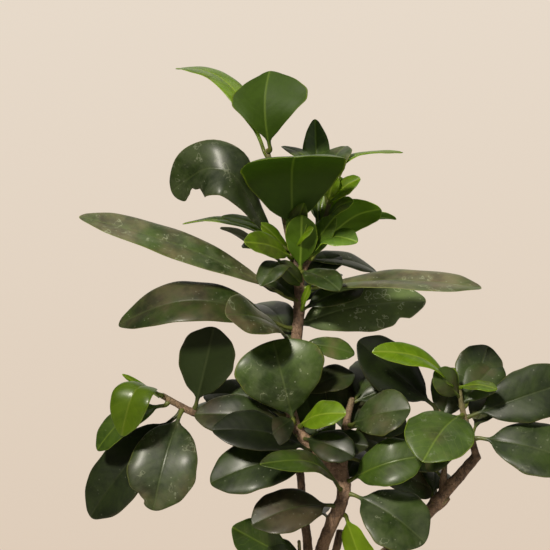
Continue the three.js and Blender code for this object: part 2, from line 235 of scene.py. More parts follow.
def add_remesh(piece: bpy.types.Object, voxel: float) -> None:
    """Adds a modifier that rebuilds a piece from even faces of one size."""
    remesh = piece.modifiers.new("remesh", "REMESH")
    remesh.mode, remesh.voxel_size, remesh.use_smooth_shade = "VOXEL", voxel, True


def settle(piece: bpy.types.Object) -> bpy.types.Object:
    """Applies a piece's modifiers.

    Args:
        piece: the object, whose mesh is replaced by its shaped one.

    Returns:
        The same object.
    """
    depsgraph = bpy.context.evaluated_depsgraph_get()
    bpy.context.view_layer.update()
    shaped = bpy.data.meshes.new_from_object(piece.evaluated_get(depsgraph))
    piece.modifiers.clear()
    piece.data = shaped
    return piece


def hand_over(piece: bpy.types.Object, slot: str, *nodes: str) -> None:
    """Lets a piece ride on the body and hides the nodes that it stands for.

    Args:
        piece: the finished piece.
        slot: the record's material slot; not used.
        nodes: the CAD nodes that it replaces.
    """
    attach(piece, BODY)
    if nodes:
        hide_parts(*nodes)
    log.info("%s: %d faces", piece.name, len(piece.data.polygons))


# ------------------------------------------------------------------------------ shader tools


@dataclass
class Graph:
    """A node tree that is being built, with short calls for the nodes that come up often."""

    tree: bpy.types.NodeTree

    def node(self, kind: str, inputs: dict | None = None, **settings: object) -> bpy.types.Node:
        """Adds a node.

        Args:
            kind: the node's type, without its ShaderNode prefix.
            inputs: values or sockets for its inputs, by name or number.
            settings: the node's own properties.

        Returns:
            The node.
        """
        made = self.tree.nodes.new("ShaderNode" + kind)
        for key, value in settings.items():
            setattr(made, key, value)
        for key, value in (inputs or {}).items():
            self.feed(made.inputs[key], value)
        return made

    def feed(self, socket: Socket, value: object) -> None:
        """Feeds an input.

        Args:
            socket: the input.
            value: a socket to link to it, or a plain value to set it to.
        """
        if isinstance(value, bpy.types.NodeSocket):
            self.tree.links.new(value, socket)
        elif socket.type == "RGBA" and len(value) == 3:
            socket.default_value = (*value, 1.0)
        else:
            socket.default_value = value

    def math(self, operation: str, *values: object, clamp: bool = False) -> Socket:
        """Adds a Math node.

        Args:
            operation: what it does.
            values: its inputs, numbers or sockets.
            clamp: whether its result is held between 0 and 1.

        Returns:
            The result.
        """
        made = self.node("Math", dict(enumerate(values)), operation=operation, use_clamp=clamp)
        return made.outputs[0]

    def step(self, value: object, low: float, high: float, soft: bool = True) -> Socket:
        """Adds a step from 0 at low to 1 at high.

        Args:
            value: the value to judge.
            low: where the step begins.
            high: where it ends, which may lie below low.
            soft: whether its ends are rounded.

        Returns:
            The result.
        """
        made = self.node("MapRange", {0: value, 1: low, 2: high, 3: 0.0, 4: 1.0})
        made.interpolation_type = "SMOOTHSTEP" if soft else "LINEAR"
        return made.outputs[0]

    def mix(self, share: object, first: object, second: object, blend: str = "MIX") -> Socket:
        """Adds a blend of two colours.

        Args:
            share: how much of the second shows.
            first: the first colour.
            second: the second colour.
            blend: how the second is laid on the first.

        Returns:
            The blended colour.
        """
        made = self.node("Mix", data_type="RGBA", blend_type=blend)
        for name, value in (("Factor", share), ("A", first), ("B", second)):
            kind = "VALUE" if name == "Factor" else "RGBA"
            self.feed(next(s for s in made.inputs if s.name == name and s.type == kind), value)
        return next(s for s in made.outputs if s.type == "RGBA")

    def noise(self, vector: object, scale: float, detail: float = 3, rough: float = 0.5) -> Socket:
        """Adds a noise.

        Args:
            vector: where it is read.
            scale: how small its clouds are.
            detail: how many finer layers it has.
            rough: how strong these are.

        Returns:
            A value about 0.5.
        """
        wanted = {"Scale": scale, "Detail": detail, "Roughness": rough, "Vector": vector}
        return self.node("TexNoise", wanted).outputs[0]

    def place(self) -> Socket:
        """The object's own coordinates."""
        return self.node("TexCoord").outputs["Object"]

    def parts(self, vector: Socket) -> tuple[Socket, Socket, Socket]:
        """A vector's three parts."""
        return tuple(self.node("SeparateXYZ", {0: vector}).outputs)

    def kept(self, name: str) -> Socket:
        """A vector stored on the mesh."""
        return self.node("Attribute", attribute_name=name).outputs["Vector"]

    def group(self, shared: bpy.types.NodeTree, inputs: dict) -> bpy.types.Node:
        """Places a shared group.

        Args:
            shared: the group.
            inputs: values or sockets for its inputs, by name.

        Returns:
            The group's node.
        """
        made = self.tree.nodes.new("ShaderNodeGroup")
        made.node_tree = shared
        for key, value in inputs.items():
            self.feed(made.inputs[key], value)
        return made


def shared_group(
    name: str, inputs: dict[str, object], outputs: dict[str, str], fill: Callable
) -> bpy.types.NodeTree:
    """Builds a shader node group.

    Args:
        name: the group's name.
        inputs: each input's default, a number, or three numbers for a vector.
        outputs: each output's socket type.
        fill: gets the graph and the group's input node, and returns a socket for each output.

    Returns:
        The group.
    """
    tree = bpy.data.node_groups.new(name, "ShaderNodeTree")
    for key, value in inputs.items():
        kind = "NodeSocketVector" if isinstance(value, tuple) else "NodeSocketFloat"
        made = tree.interface.new_socket(name=key, in_out="INPUT", socket_type=kind)
        made.default_value = value
    for key, kind in outputs.items():
        tree.interface.new_socket(name=key, in_out="OUTPUT", socket_type=kind)
    graph = Graph(tree)
    found = fill(graph, tree.nodes.new("NodeGroupInput"))
    end = tree.nodes.new("NodeGroupOutput")
    for key, socket in found.items():
        tree.links.new(socket, end.inputs[key])
    return tree


def fill_mottle(graph: Graph, given: bpy.types.Node) -> dict[str, Socket]:
    """Clouds of two sizes and a fine grain, all about 0.5.

    Args:
        graph: the group's graph.
        given: the group's input node.

    Returns:
        A socket for each output.
    """
    scale, vector = given.outputs["Scale"], given.outputs["Place"]
    large = graph.noise(vector, scale, 2)
    small = graph.noise(vector, graph.math("MULTIPLY", scale, 4.3), 4, 0.6)
    grain = graph.noise(vector, graph.math("MULTIPLY", scale, 26.0), 2)
    both = graph.math("ADD", graph.math("MULTIPLY", large, 0.6), graph.math("MULTIPLY", small, 0.4))
    return {"Clouds": both, "Grain": grain}


def fill_speckle(graph: Graph, given: bpy.types.Node) -> dict[str, Socket]:
    """Small round spots, more of them where a cloud is thick.

    Args:
        graph: the group's graph.
        given: the group's input node.

    Returns:
        A socket for each output.
    """
    vector, scale = given.outputs["Place"], given.outputs["Scale"]
    wanted = {"Vector": vector, "Scale": scale, "Randomness": 1.0}
    spots = graph.node("TexVoronoi", wanted, feature="F1")
    pick = graph.node("SeparateColor", {0: spots.outputs["Color"]}).outputs[0]
    cloud = graph.noise(vector, graph.math("MULTIPLY", scale, 0.11), 3)
    level = graph.math("MULTIPLY", given.outputs["Amount"], graph.step(cloud, 0.35, 0.65))
    chosen = graph.math("LESS_THAN", pick, level)
    round_spot = graph.step(spots.outputs["Distance"], 0.32, 0.14)
    return {"Mask": graph.math("MULTIPLY", chosen, round_spot)}


def fill_veins(graph: Graph, given: bpy.types.Node) -> dict[str, Socket]:
    """The midrib and the side veins that leave it at a slant and bend towards the tip.

    Args:
        graph: the group's graph.
        given: the group's input node.

    Returns:
        A socket for each output.
    """
    across, along, _ = graph.parts(given.outputs["Place"])
    out = graph.math("ABSOLUTE", across)
    wander = graph.math("MULTIPLY_ADD", graph.noise(given.outputs["Place"], 0.35, 2), 2.4, -1.2)
    bend = graph.math("MULTIPLY", graph.math("MULTIPLY", out, out), 0.025)
    run = graph.math("SUBTRACT", along, graph.math("ADD", graph.math("MULTIPLY", out, 0.62), bend))
    phase = graph.math("DIVIDE", graph.math("ADD", run, wander), given.outputs["Spacing"])
    tooth = graph.math("PINGPONG", phase, 0.5)
    side = graph.math("MULTIPLY", graph.step(tooth, 0.09, 0.0), graph.step(out, 0.3, 1.2))
    mid = graph.step(out, 0.75, 0.1)
    return {"Midrib": mid, "Side": side, "Swell": graph.step(tooth, 0.0, 0.5)}


@dataclass
class SharedEffects:
    """The node groups that several finishes use."""

    mottle: bpy.types.NodeTree = field(init=False)
    speckle: bpy.types.NodeTree = field(init=False)
    veins: bpy.types.NodeTree = field(init=False)

    def __post_init__(self) -> None:
        """Builds each group once."""
        value, origin = "NodeSocketFloat", (0.0, 0.0, 0.0)
        self.mottle = shared_group(
            "mottle", {"Place": origin, "Scale": 20.0}, {"Clouds": value, "Grain": value}, fill_mottle
        )
        self.speckle = shared_group(
            "speckle", {"Place": origin, "Scale": 100.0, "Amount": 0.3}, {"Mask": value}, fill_speckle
        )
        self.veins = shared_group(
            "leaf_veins",
            {"Place": origin, "Spacing": 4.0},
            {"Midrib": value, "Side": value, "Swell": value},
            fill_veins,
        )


def new_material(name: str) -> tuple[bpy.types.Material, Graph]:
    """Makes an empty node material.

    Args:
        name: the material's name.

    Returns:
        The material and its graph.
    """
    material = bpy.data.materials.new(name)
    material.use_nodes = True
    material.node_tree.nodes.clear()
    return material, Graph(material.node_tree)


def output(graph: Graph, shader: Socket) -> None:
    """Ends a material's graph."""
    graph.node("OutputMaterial", {"Surface": shader})


# ------------------------------------------------------------------------------ finishes


@dataclass(frozen=True)
class LeafFinish:
    """The waxy skin of a leaf."""

    name: str
    deep: Colour
    light: Colour
    under: Colour
    glow: Colour
    rim: Colour
    vein: Colour
    through: float
    roughness: float
    coat: float
    coat_roughness: float
    sheen: float
    dust: float
    browning: float
    vein_share: float = 0.35
    vein_spacing: float = 4.2
    ribbing: float = 0.3
    dust_colour: Colour = (0.1, 0.122, 0.06)
    chalk_colour: Colour = (0.26, 0.28, 0.2)
    brown_colour: Colour = (0.085, 0.062, 0.034)
    stalk_colour: Colour = (0.085, 0.1, 0.018)
    sheen_tint: Colour = (0.78, 0.86, 0.42)

    def build(self, effects: SharedEffects) -> bpy.types.Material:
        """Makes the material.

        Args:
            effects: the shared node groups.

        Returns:
            The material.
        """
        material, graph = new_material(self.name)
        place, state = graph.kept("leaf_place"), graph.kept("leaf_state")
        under, edge, _ = graph.parts(state)
        tone, brown, dusty = graph.parts(graph.kept("leaf_look"))
        _, along, _ = graph.parts(place)
        mottle = graph.group(effects.mottle, {"Place": place, "Scale": 0.055}).outputs
        veins = graph.group(effects.veins, {"Place": place, "Spacing": self.vein_spacing}).outputs
        dust = graph.group(effects.speckle, {"Place": place, "Scale": 0.8, "Amount": 0.25 * self.dust})
        cloud = graph.math("ADD", graph.noise(place, 0.13, 5, 0.6), dusty)
        stain = graph.step(cloud, 0.42, 0.72)
        ring = graph.math("PINGPONG", graph.noise(place, 0.15, 3, 0.5), 0.16)
        mark = graph.math("MULTIPLY", graph.step(ring, 0.02, 0.004), stain)

        spread = graph.step(mottle["Clouds"], 0.36, 0.64)
        skin = graph.mix(spread, self.deep, self.light)
        umber = graph.mix(spread, tuple(c * 0.35 for c in self.brown_colour), self.brown_colour)
        patch = graph.step(graph.math("ADD", graph.noise(place, 0.07, 3), brown), 0.45, 0.85)
        skin = graph.mix(graph.math("MULTIPLY", patch, 0.8), skin, umber)
        skin = graph.mix(graph.math("MULTIPLY", veins["Side"], self.vein_share * 0.5), skin, self.vein)
        skin = graph.mix(graph.math("MULTIPLY", veins["Midrib"], self.vein_share + 0.2), skin, self.vein)
        below = graph.mix(spread, self.under, tuple(c * 1.25 for c in self.under))
        below = graph.mix(graph.math("MULTIPLY", veins["Midrib"], 0.6), below, self.vein)
        skin = graph.mix(under, skin, below)
        blemish = graph.math("MULTIPLY", graph.step(edge, 0.55, 1.0), graph.noise(place, 0.3, 4))
        browned = graph.step(blemish, 0.62 - 0.3 * self.browning, 0.78)
        skin = graph.mix(graph.math("MULTIPLY", browned, self.browning), skin, self.brown_colour)
        skin = graph.mix(graph.step(edge, 0.955, 0.99), skin, self.rim)
        grey = graph.math("MULTIPLY", graph.math("SUBTRACT", 1.0, under), self.dust)
        specks = graph.math("MULTIPLY_ADD", stain, 0.6, graph.math("MULTIPLY", mark, 0.9))
        skin = graph.mix(graph.math("MULTIPLY", specks, grey, clamp=True), skin, self.dust_colour)
        chalk = graph.math("MAXIMUM", dust.outputs["Mask"], graph.math("MULTIPLY", mark, 0.7))
        chalk = graph.math("MULTIPLY", chalk, grey)
        skin = graph.mix(chalk, skin, self.chalk_colour)
        stalk = graph.step(along, 1.5, -1.5)
        skin = graph.mix(stalk, skin, self.stalk_colour)
        # Scales the leaf's brightness, which also paints in how lit or how shaded the leaf is.
        skin = graph.node("HueSaturation", {"Color": skin, "Value": tone}).outputs[0]

        film = graph.math("MULTIPLY_ADD", mottle["Clouds"], 0.22, self.roughness - 0.11)
        rough = graph.math("ADD", film, graph.math("MULTIPLY", under, 0.12))
        rough = graph.math("ADD", rough, graph.math("MULTIPLY", specks, 0.2 * self.dust))
        ribs = graph.math("MULTIPLY_ADD", veins["Swell"], self.ribbing, mottle["Clouds"])
        height = graph.math("ADD", ribs, graph.math("MULTIPLY", mottle["Grain"], 0.08))
        height = graph.math("SUBTRACT", height, graph.math("MULTIPLY", veins["Midrib"], 0.5))
        bump = graph.node("Bump", {"Height": height, "Strength": 0.35, "Distance": 0.0006})
        coat = graph.math("MULTIPLY", graph.math("SUBTRACT", 1.0, under), self.coat, clamp=True)
        shell = graph.node(
            "BsdfPrincipled",
            {
                "Base Color": skin,
                "Roughness": rough,
                "Specular IOR Level": 0.2,
                "Sheen Weight": self.sheen,
                "Sheen Roughness": 0.4,
                "Sheen Tint": self.sheen_tint,
                "Coat Weight": coat,
                "Coat Roughness": self.coat_roughness,
                "Normal": bump.outputs[0],
            },
        )
        lit = graph.mix(0.6, self.glow, graph.mix(1.0, skin, (3.0, 3.0, 3.0), "MULTIPLY"))
        glow = graph.node("BsdfTranslucent", {"Color": lit, "Normal": bump.outputs[0]})
        inside = graph.node("NewGeometry").outputs["Backfacing"]
        share = graph.math("MAXIMUM", inside, self.through)
        mixed = graph.node("MixShader", {0: share, 1: shell.outputs[0], 2: glow.outputs[0]})
        output(graph, mixed.outputs[0])
        return material


@dataclass(frozen=True)
class BarkFinish:
    """Bark with pores, scars and green skin on the thin shoots."""

    name: str
    deep: Colour
    light: Colour
    pore: Colour
    fresh: Colour
    scale: float
    roughness: float
    relief_mm: float

    def build(self, effects: SharedEffects) -> bpy.types.Material:
        """Makes the material.

        Args:
            effects: the shared node groups.

        Returns:
            The material.
        """
        material, graph = new_material(self.name)
        place = graph.place()
        thin, scar, _ = graph.parts(graph.kept("wood_state"))
        mottle = graph.group(effects.mottle, {"Place": place, "Scale": self.scale}).outputs
        stretched = graph.node("Mapping", {"Vector": place, "Scale": (1.0, 1.0, 3.4)}).outputs[0]
        pores = graph.group(
            effects.speckle, {"Place": stretched, "Scale": self.scale * 5, "Amount": 0.55}
        ).outputs["Mask"]
        drawn_out = graph.node("Mapping", {"Vector": place, "Scale": (1.0, 1.0, 0.45)}).outputs[0]
        wanted = {"Vector": drawn_out, "Scale": self.scale * 4.5}
        plates = graph.node("TexVoronoi", wanted, feature="DISTANCE_TO_EDGE")
        crack = graph.step(plates.outputs["Distance"], 0.07, 0.0)
        skin = graph.mix(graph.step(mottle["Clouds"], 0.35, 0.65), self.deep, self.light)
        skin = graph.mix(graph.math("MULTIPLY", crack, 0.3), skin, tuple(c * 0.45 for c in self.deep))
        skin = graph.mix(graph.math("MULTIPLY", pores, 0.75), skin, self.pore)
        skin = graph.mix(graph.math("MULTIPLY", scar, 0.7), skin, tuple(c * 0.55 for c in self.pore))
        skin = graph.mix(graph.math("MULTIPLY", thin, 0.75), skin, self.fresh)
        rough = graph.math("MULTIPLY_ADD", mottle["Grain"], 0.25, self.roughness - 0.12)
        height = graph.math("ADD", mottle["Clouds"], graph.math("MULTIPLY", mottle["Grain"], 0.35))
        height = graph.math("ADD", height, graph.math("MULTIPLY", pores, 0.5))
        height = graph.math("SUBTRACT", height, graph.math("MULTIPLY", crack, 0.3))
        relief = self.relief_mm * MM
        bump = graph.node("Bump", {"Height": height, "Strength": 0.8, "Distance": relief})
        shell = graph.node(
            "BsdfPrincipled", {"Base Color": skin, "Roughness": rough, "Normal": bump.outputs[0]}
        )
        output(graph, shell.outputs[0])
        return material


@dataclass(frozen=True)
class GlazeFinish:
    """Speckled stoneware glaze over bare clay at the foot."""

    name: str = "stoneware_glaze"
    glaze: Colour = (0.6, 0.55, 0.46)
    bright: Colour = (0.68, 0.63, 0.54)
    pooled: Colour = (0.36, 0.3, 0.22)
    iron: Colour = (0.1, 0.06, 0.035)
    clay: Colour = (0.38, 0.23, 0.14)
    foot_line: float = 4 * MM
    roughness: float = 0.32

    def build(self, effects: SharedEffects, rim: float) -> bpy.types.Material:
        """Makes the material.

        Args:
            effects: the shared node groups.
            rim: the rim's height.

        Returns:
            The material.
        """
        material, graph = new_material(self.name)
        place = graph.place()
        _, _, height_up = graph.parts(place)
        mottle = graph.group(effects.mottle, {"Place": place, "Scale": 22.0}).outputs
        iron = graph.group(effects.speckle, {"Place": place, "Scale": 420.0, "Amount": 0.35})
        fine = graph.group(effects.speckle, {"Place": place, "Scale": 900.0, "Amount": 0.3})
        spots = graph.math("MAXIMUM", iron.outputs["Mask"], fine.outputs["Mask"])
        skin = graph.mix(graph.step(mottle["Clouds"], 0.3, 0.7), self.glaze, self.bright)
        thin = graph.step(height_up, rim - 1.6 * MM, rim - 0.1 * MM)
        skin = graph.mix(graph.math("MULTIPLY", thin, 0.8), skin, self.pooled)
        skin = graph.mix(graph.math("MULTIPLY", spots, 0.7), skin, self.iron)
        line = graph.math("ADD", height_up, graph.math("MULTIPLY", mottle["Clouds"], 1.5 * MM))
        bare = graph.step(line, self.foot_line + 1.0 * MM, self.foot_line)
        skin = graph.mix(bare, skin, self.clay)
        rough = graph.math("MULTIPLY_ADD", mottle["Clouds"], 0.15, self.roughness - 0.07)
        rough = graph.math("ADD", rough, graph.math("MULTIPLY", bare, 0.5))
        height = graph.math("ADD", mottle["Clouds"], graph.math("MULTIPLY", spots, -0.25))
        height = graph.math("ADD", height, graph.math("MULTIPLY", bare, mottle["Grain"]))
        bump = graph.node("Bump", {"Height": height, "Strength": 0.4, "Distance": 0.0006})
        coat = graph.math("SUBTRACT", 0.5, graph.math("MULTIPLY", bare, 0.5), clamp=True)
        shell = graph.node(
            "BsdfPrincipled",
            {
                "Base Color": skin,
                "Roughness": rough,
                "Coat Weight": coat,
                "Coat Roughness": 0.12,
                "Normal": bump.outputs[0],
            },
        )
        output(graph, shell.outputs[0])
        return material


@dataclass(frozen=True)
class EarthFinish:
    """Potting soil and its grains, whose colours are kept on the mesh."""

    name: str
    deep: Colour
    light: Colour
    chips: bool

    def build(self, effects: SharedEffects) -> bpy.types.Material:
        """Makes the material.

        Args:
            effects: the shared node groups.

        Returns:
            The material.
        """
        material, graph = new_material(self.name)
        place = graph.place()
        mottle = graph.group(effects.mottle, {"Place": place, "Scale": 60.0}).outputs
        skin = graph.mix(graph.step(mottle["Clouds"], 0.3, 0.7), self.deep, self.light)
        if self.chips:
            skin = graph.mix(0.85, skin, graph.kept("grain_colour"))
            skin = graph.mix(graph.step(mottle["Grain"], 0.6, 0.3), skin, (0.5, 0.5, 0.5), "MULTIPLY")
        height = graph.math("ADD", mottle["Clouds"], graph.math("MULTIPLY", mottle["Grain"], 0.6))
        bump = graph.node("Bump", {"Height": height, "Strength": 0.9, "Distance": 0.001})
        rough = graph.math("MULTIPLY_ADD", mottle["Clouds"], 0.2, 0.78)
        shell = graph.node(
            "BsdfPrincipled", {"Base Color": skin, "Roughness": rough, "Normal": bump.outputs[0]}
        )
        output(graph, shell.outputs[0])
        return material


@dataclass(frozen=True)
class PlainFinish:
    """An even surface with a little mottling, for the drain screen."""

    name: str
    colour: Colour
    roughness: float
    variation: float = 0.05
    scale: float = 40.0

    def build(self, effects: SharedEffects) -> bpy.types.Material:
        """Makes the material.

        Args:
            effects: the shared node groups.

        Returns:
            The material.
        """
        material, graph = new_material(self.name)
        mottle = graph.group(effects.mottle, {"Place": graph.place(), "Scale": self.scale}).outputs
        darker = tuple(c * (1 - self.variation) for c in self.colour)
        skin = graph.mix(graph.step(mottle["Clouds"], 0.3, 0.7), darker, self.colour)
        bump = graph.node(
            "Bump", {"Height": mottle["Grain"], "Strength": 0.15, "Distance": 0.0003}
        )
        wanted = {"Base Color": skin, "Roughness": self.roughness, "Normal": bump.outputs[0]}
        output(graph, graph.node("BsdfPrincipled", wanted).outputs[0])
        return material


@dataclass(frozen=True)
class PaperFinish:
    """The pale matt surface that the pot stands on."""

    name: str = "warm_paper"
    colour: Colour = (0.6, 0.555, 0.5)
    shaded: Colour = (0.56, 0.515, 0.46)
    roughness: float = 0.9

    def build(self, effects: SharedEffects) -> bpy.types.Material:
        """Makes the material.

        Args:
            effects: the shared node groups.

        Returns:
            The material.
        """
        material, graph = new_material(self.name)
        mottle = graph.group(effects.mottle, {"Place": graph.place(), "Scale": 3.0}).outputs
        skin = graph.mix(graph.step(mottle["Clouds"], 0.3, 0.7), self.shaded, self.colour)
        wanted = {"Base Color": skin, "Roughness": self.roughness}
        output(graph, graph.node("BsdfPrincipled", wanted).outputs[0])
        return material


LEAF_FINISHES = {
    Age.OLD: LeafFinish(
        name="old_leaf_skin",
        deep=(0.009, 0.018, 0.0025),
        light=(0.026, 0.046, 0.006),
        under=(0.015, 0.028, 0.002),
        glow=(0.05, 0.11, 0.003),
        rim=(0.07, 0.085, 0.012),
        vein=(0.045, 0.064, 0.016),
        through=0.06,
        roughness=0.5,
        coat=0.16,
        coat_roughness=0.28,
        sheen=0.04,
        dust=0.42,
        browning=0.6,
        vein_share=0.28,
        ribbing=0.1,
    ),
    Age.GREEN: LeafFinish(
        name="green_leaf_skin",
        deep=(0.020, 0.041, 0.003),
        light=(0.040, 0.074, 0.006),
        under=(0.026, 0.052, 0.002),
        glow=(0.14, 0.28, 0.003),
        rim=(0.12, 0.17, 0.012),
        vein=(0.10, 0.15, 0.016),
        through=0.2,
        roughness=0.48,
        coat=0.16,
        coat_roughness=0.26,
        sheen=0.01,
        dust=0.2,
        browning=0.25,
        ribbing=0.12,
    ),
    Age.YOUNG: LeafFinish(
        name="young_leaf_skin",
        deep=(0.07, 0.13, 0.003),
        light=(0.12, 0.2, 0.006),
        under=(0.11, 0.17, 0.006),
        glow=(0.36, 0.52, 0.006),
        rim=(0.22, 0.28, 0.03),
        vein=(0.22, 0.29, 0.03),
        through=0.34,
        roughness=0.42,
        coat=0.25,
        coat_roughness=0.22,
        sheen=0.01,
        dust=0.0,
        browning=0.15,
        ribbing=0.12,
    ),
}
STEM_BARK = BarkFinish(
    name="stem_bark",
    deep=(0.05, 0.028, 0.016),
    light=(0.21, 0.13, 0.078),
    pore=(0.34, 0.22, 0.13),
    fresh=(0.12, 0.13, 0.04),
    scale=120.0,
    roughness=0.72,
    relief_mm=0.8,
)
STOCK_BARK = BarkFinish(
    name="stock_bark",
    deep=(0.16, 0.115, 0.075),
    light=(0.34, 0.265, 0.18),
    pore=(0.42, 0.33, 0.22),
    fresh=(0.2, 0.18, 0.1),
    scale=45.0,
    roughness=0.7,
    relief_mm=1.2,
)


# ------------------------------------------------------------------------------ leaves


@dataclass(frozen=True)
class Bite:
    """A piece missing from a leaf's edge.

    Its place and span are shares of the blade's length, and its depth a share of the half width.
    """

    edge: Edge
    place: float
    span: float
    depth: float


@dataclass
class LeafPlan:
    """A leaf as its midrib, its upper side and its half widths at stations from foot to tip."""

    name: str
    spine: np.ndarray
    upper: np.ndarray
    half: np.ndarray
    blade_from: int
    fold: float

    @classmethod
    def from_node(cls, name: str) -> "LeafPlan":
        """Reads a leaf from its CAD node, whose rings lie one after the other between two poles.

        Args:
            name: the node's name.

        Returns:
            The plan.
        """
        points, triangles = corners(name)
        near: list[set[int]] = [set() for _ in points]
        for a, b, c in triangles:
            near[a] |= {b, c}
            near[b] |= {a, c}
            near[c] |= {a, b}
        poles = [i for i, around in enumerate(near) if len(around) == 8]
        foot = min(poles, key=lambda pole: np.ptp(points[list(near[pole])], axis=0).max())
        rings, seen, level = [], {foot}, near[foot]
        while len(level) > 1:
            rings.append(cls._in_order(level, near))
            seen |= level
            level = set().union(*(near[i] for i in level)) - seen
        tip = points[next(iter(level))]
        spine, upper, half, rise = [points[foot]], [], [], []
        for ring in rings:
            ring = points[ring]
            start = int(np.argmax(np.linalg.norm(ring[:4] - ring[4:], axis=1)))
            left, right = ring[start], ring[start + 4]
            over, below = ring[(start + 2) % 8], ring[(start + 6) % 8]
            middle = (over + below) / 2
            raised = (left + right) / 2 - middle
            facing = unit(over - below)
            if facing @ raised < 0:
                facing = -facing
            spine.append(middle)
            upper.append(facing)
            half.append(np.linalg.norm(right - left) / 2)
            rise.append(facing @ raised)
        widest = int(np.argmax(half))
        upper[0] = upper[1] = upper[2]
        return cls(
            name=name,
            spine=np.array([*spine, tip]),
            upper=np.array([upper[0], *upper, upper[-1]]),
            half=np.array([half[0], *half, 0.0]),
            blade_from=2,
            fold=rise[widest] / half[widest],
        )

    @staticmethod
    def _in_order(level: set[int], near: list[set[int]]) -> list[int]:
        """Puts a ring's points in the order in which they follow each other.

        Args:
            level: the ring's point numbers.
            near: the neighbours of each point of the leaf.

        Returns:
            The point numbers in order.
        """
        order = [min(level)]
        while len(order) < len(level):
            order.append(next(i for i in near[order[-1]] & level if i not in order))
        return order

    @classmethod
    def from_growth(
        cls, name: str, foot: np.ndarray, tip: np.ndarray, width: float, faces: Vec3, bow: float
    ) -> "LeafPlan":
        """Plans a leaf that has no CAD node.

        Args:
            name: the leaf's name.
            foot: where its stalk leaves the wood.
            tip: where it ends.
            width: of its blade.
            faces: where its upper side looks.
            bow: how far the midrib stands out of a straight line, towards the upper side.

        Returns:
            The plan.
        """
        chord = unit(tip - foot)
        up = np.array(faces, float)
        lift = unit(up - (up @ chord) * chord)
        share = np.array([0, 0.02, 0.08, 0.16, 0.32, 0.5, 0.65, 0.8, 0.91, 0.97, 1])
        spine = foot + share[:, None] * (tip - foot) + (bow * np.sin(np.pi * share))[:, None] * lift
        blade = np.clip((share - 0.08) / 0.92, 0, 1)
        outline = blade**0.8 * (1 - blade) ** 0.55
        half = np.maximum(outline / outline.max() * width / 2, 0.7 * MM)
        half[-1] = 0
        return cls(name, spine, np.tile(lift, (len(share), 1)), half, 2, 0.16)


@dataclass(frozen=True)
class Look:
    """How a leaf differs from the others of its age.

    Its first field, its brightness, is partly its own depth of green and partly painted light and
    shade, set higher for leaves that are lit and lower for shaded ones. Brown adds brown patches and
    dusty adds dried water marks, and below zero both take some away. Fullness is how far its outline
    is drawn to a full oval, whose widest place moves towards the tip as lean rises. Twist is the angle
    in degrees by which its tip is turned about the midrib.
    """

    tone: float = 1.0
    brown: float = 0.0
    dusty: float = 0.0
    fullness: float = 0.3
    lean: float = 1.15
    twist: float = 0.0


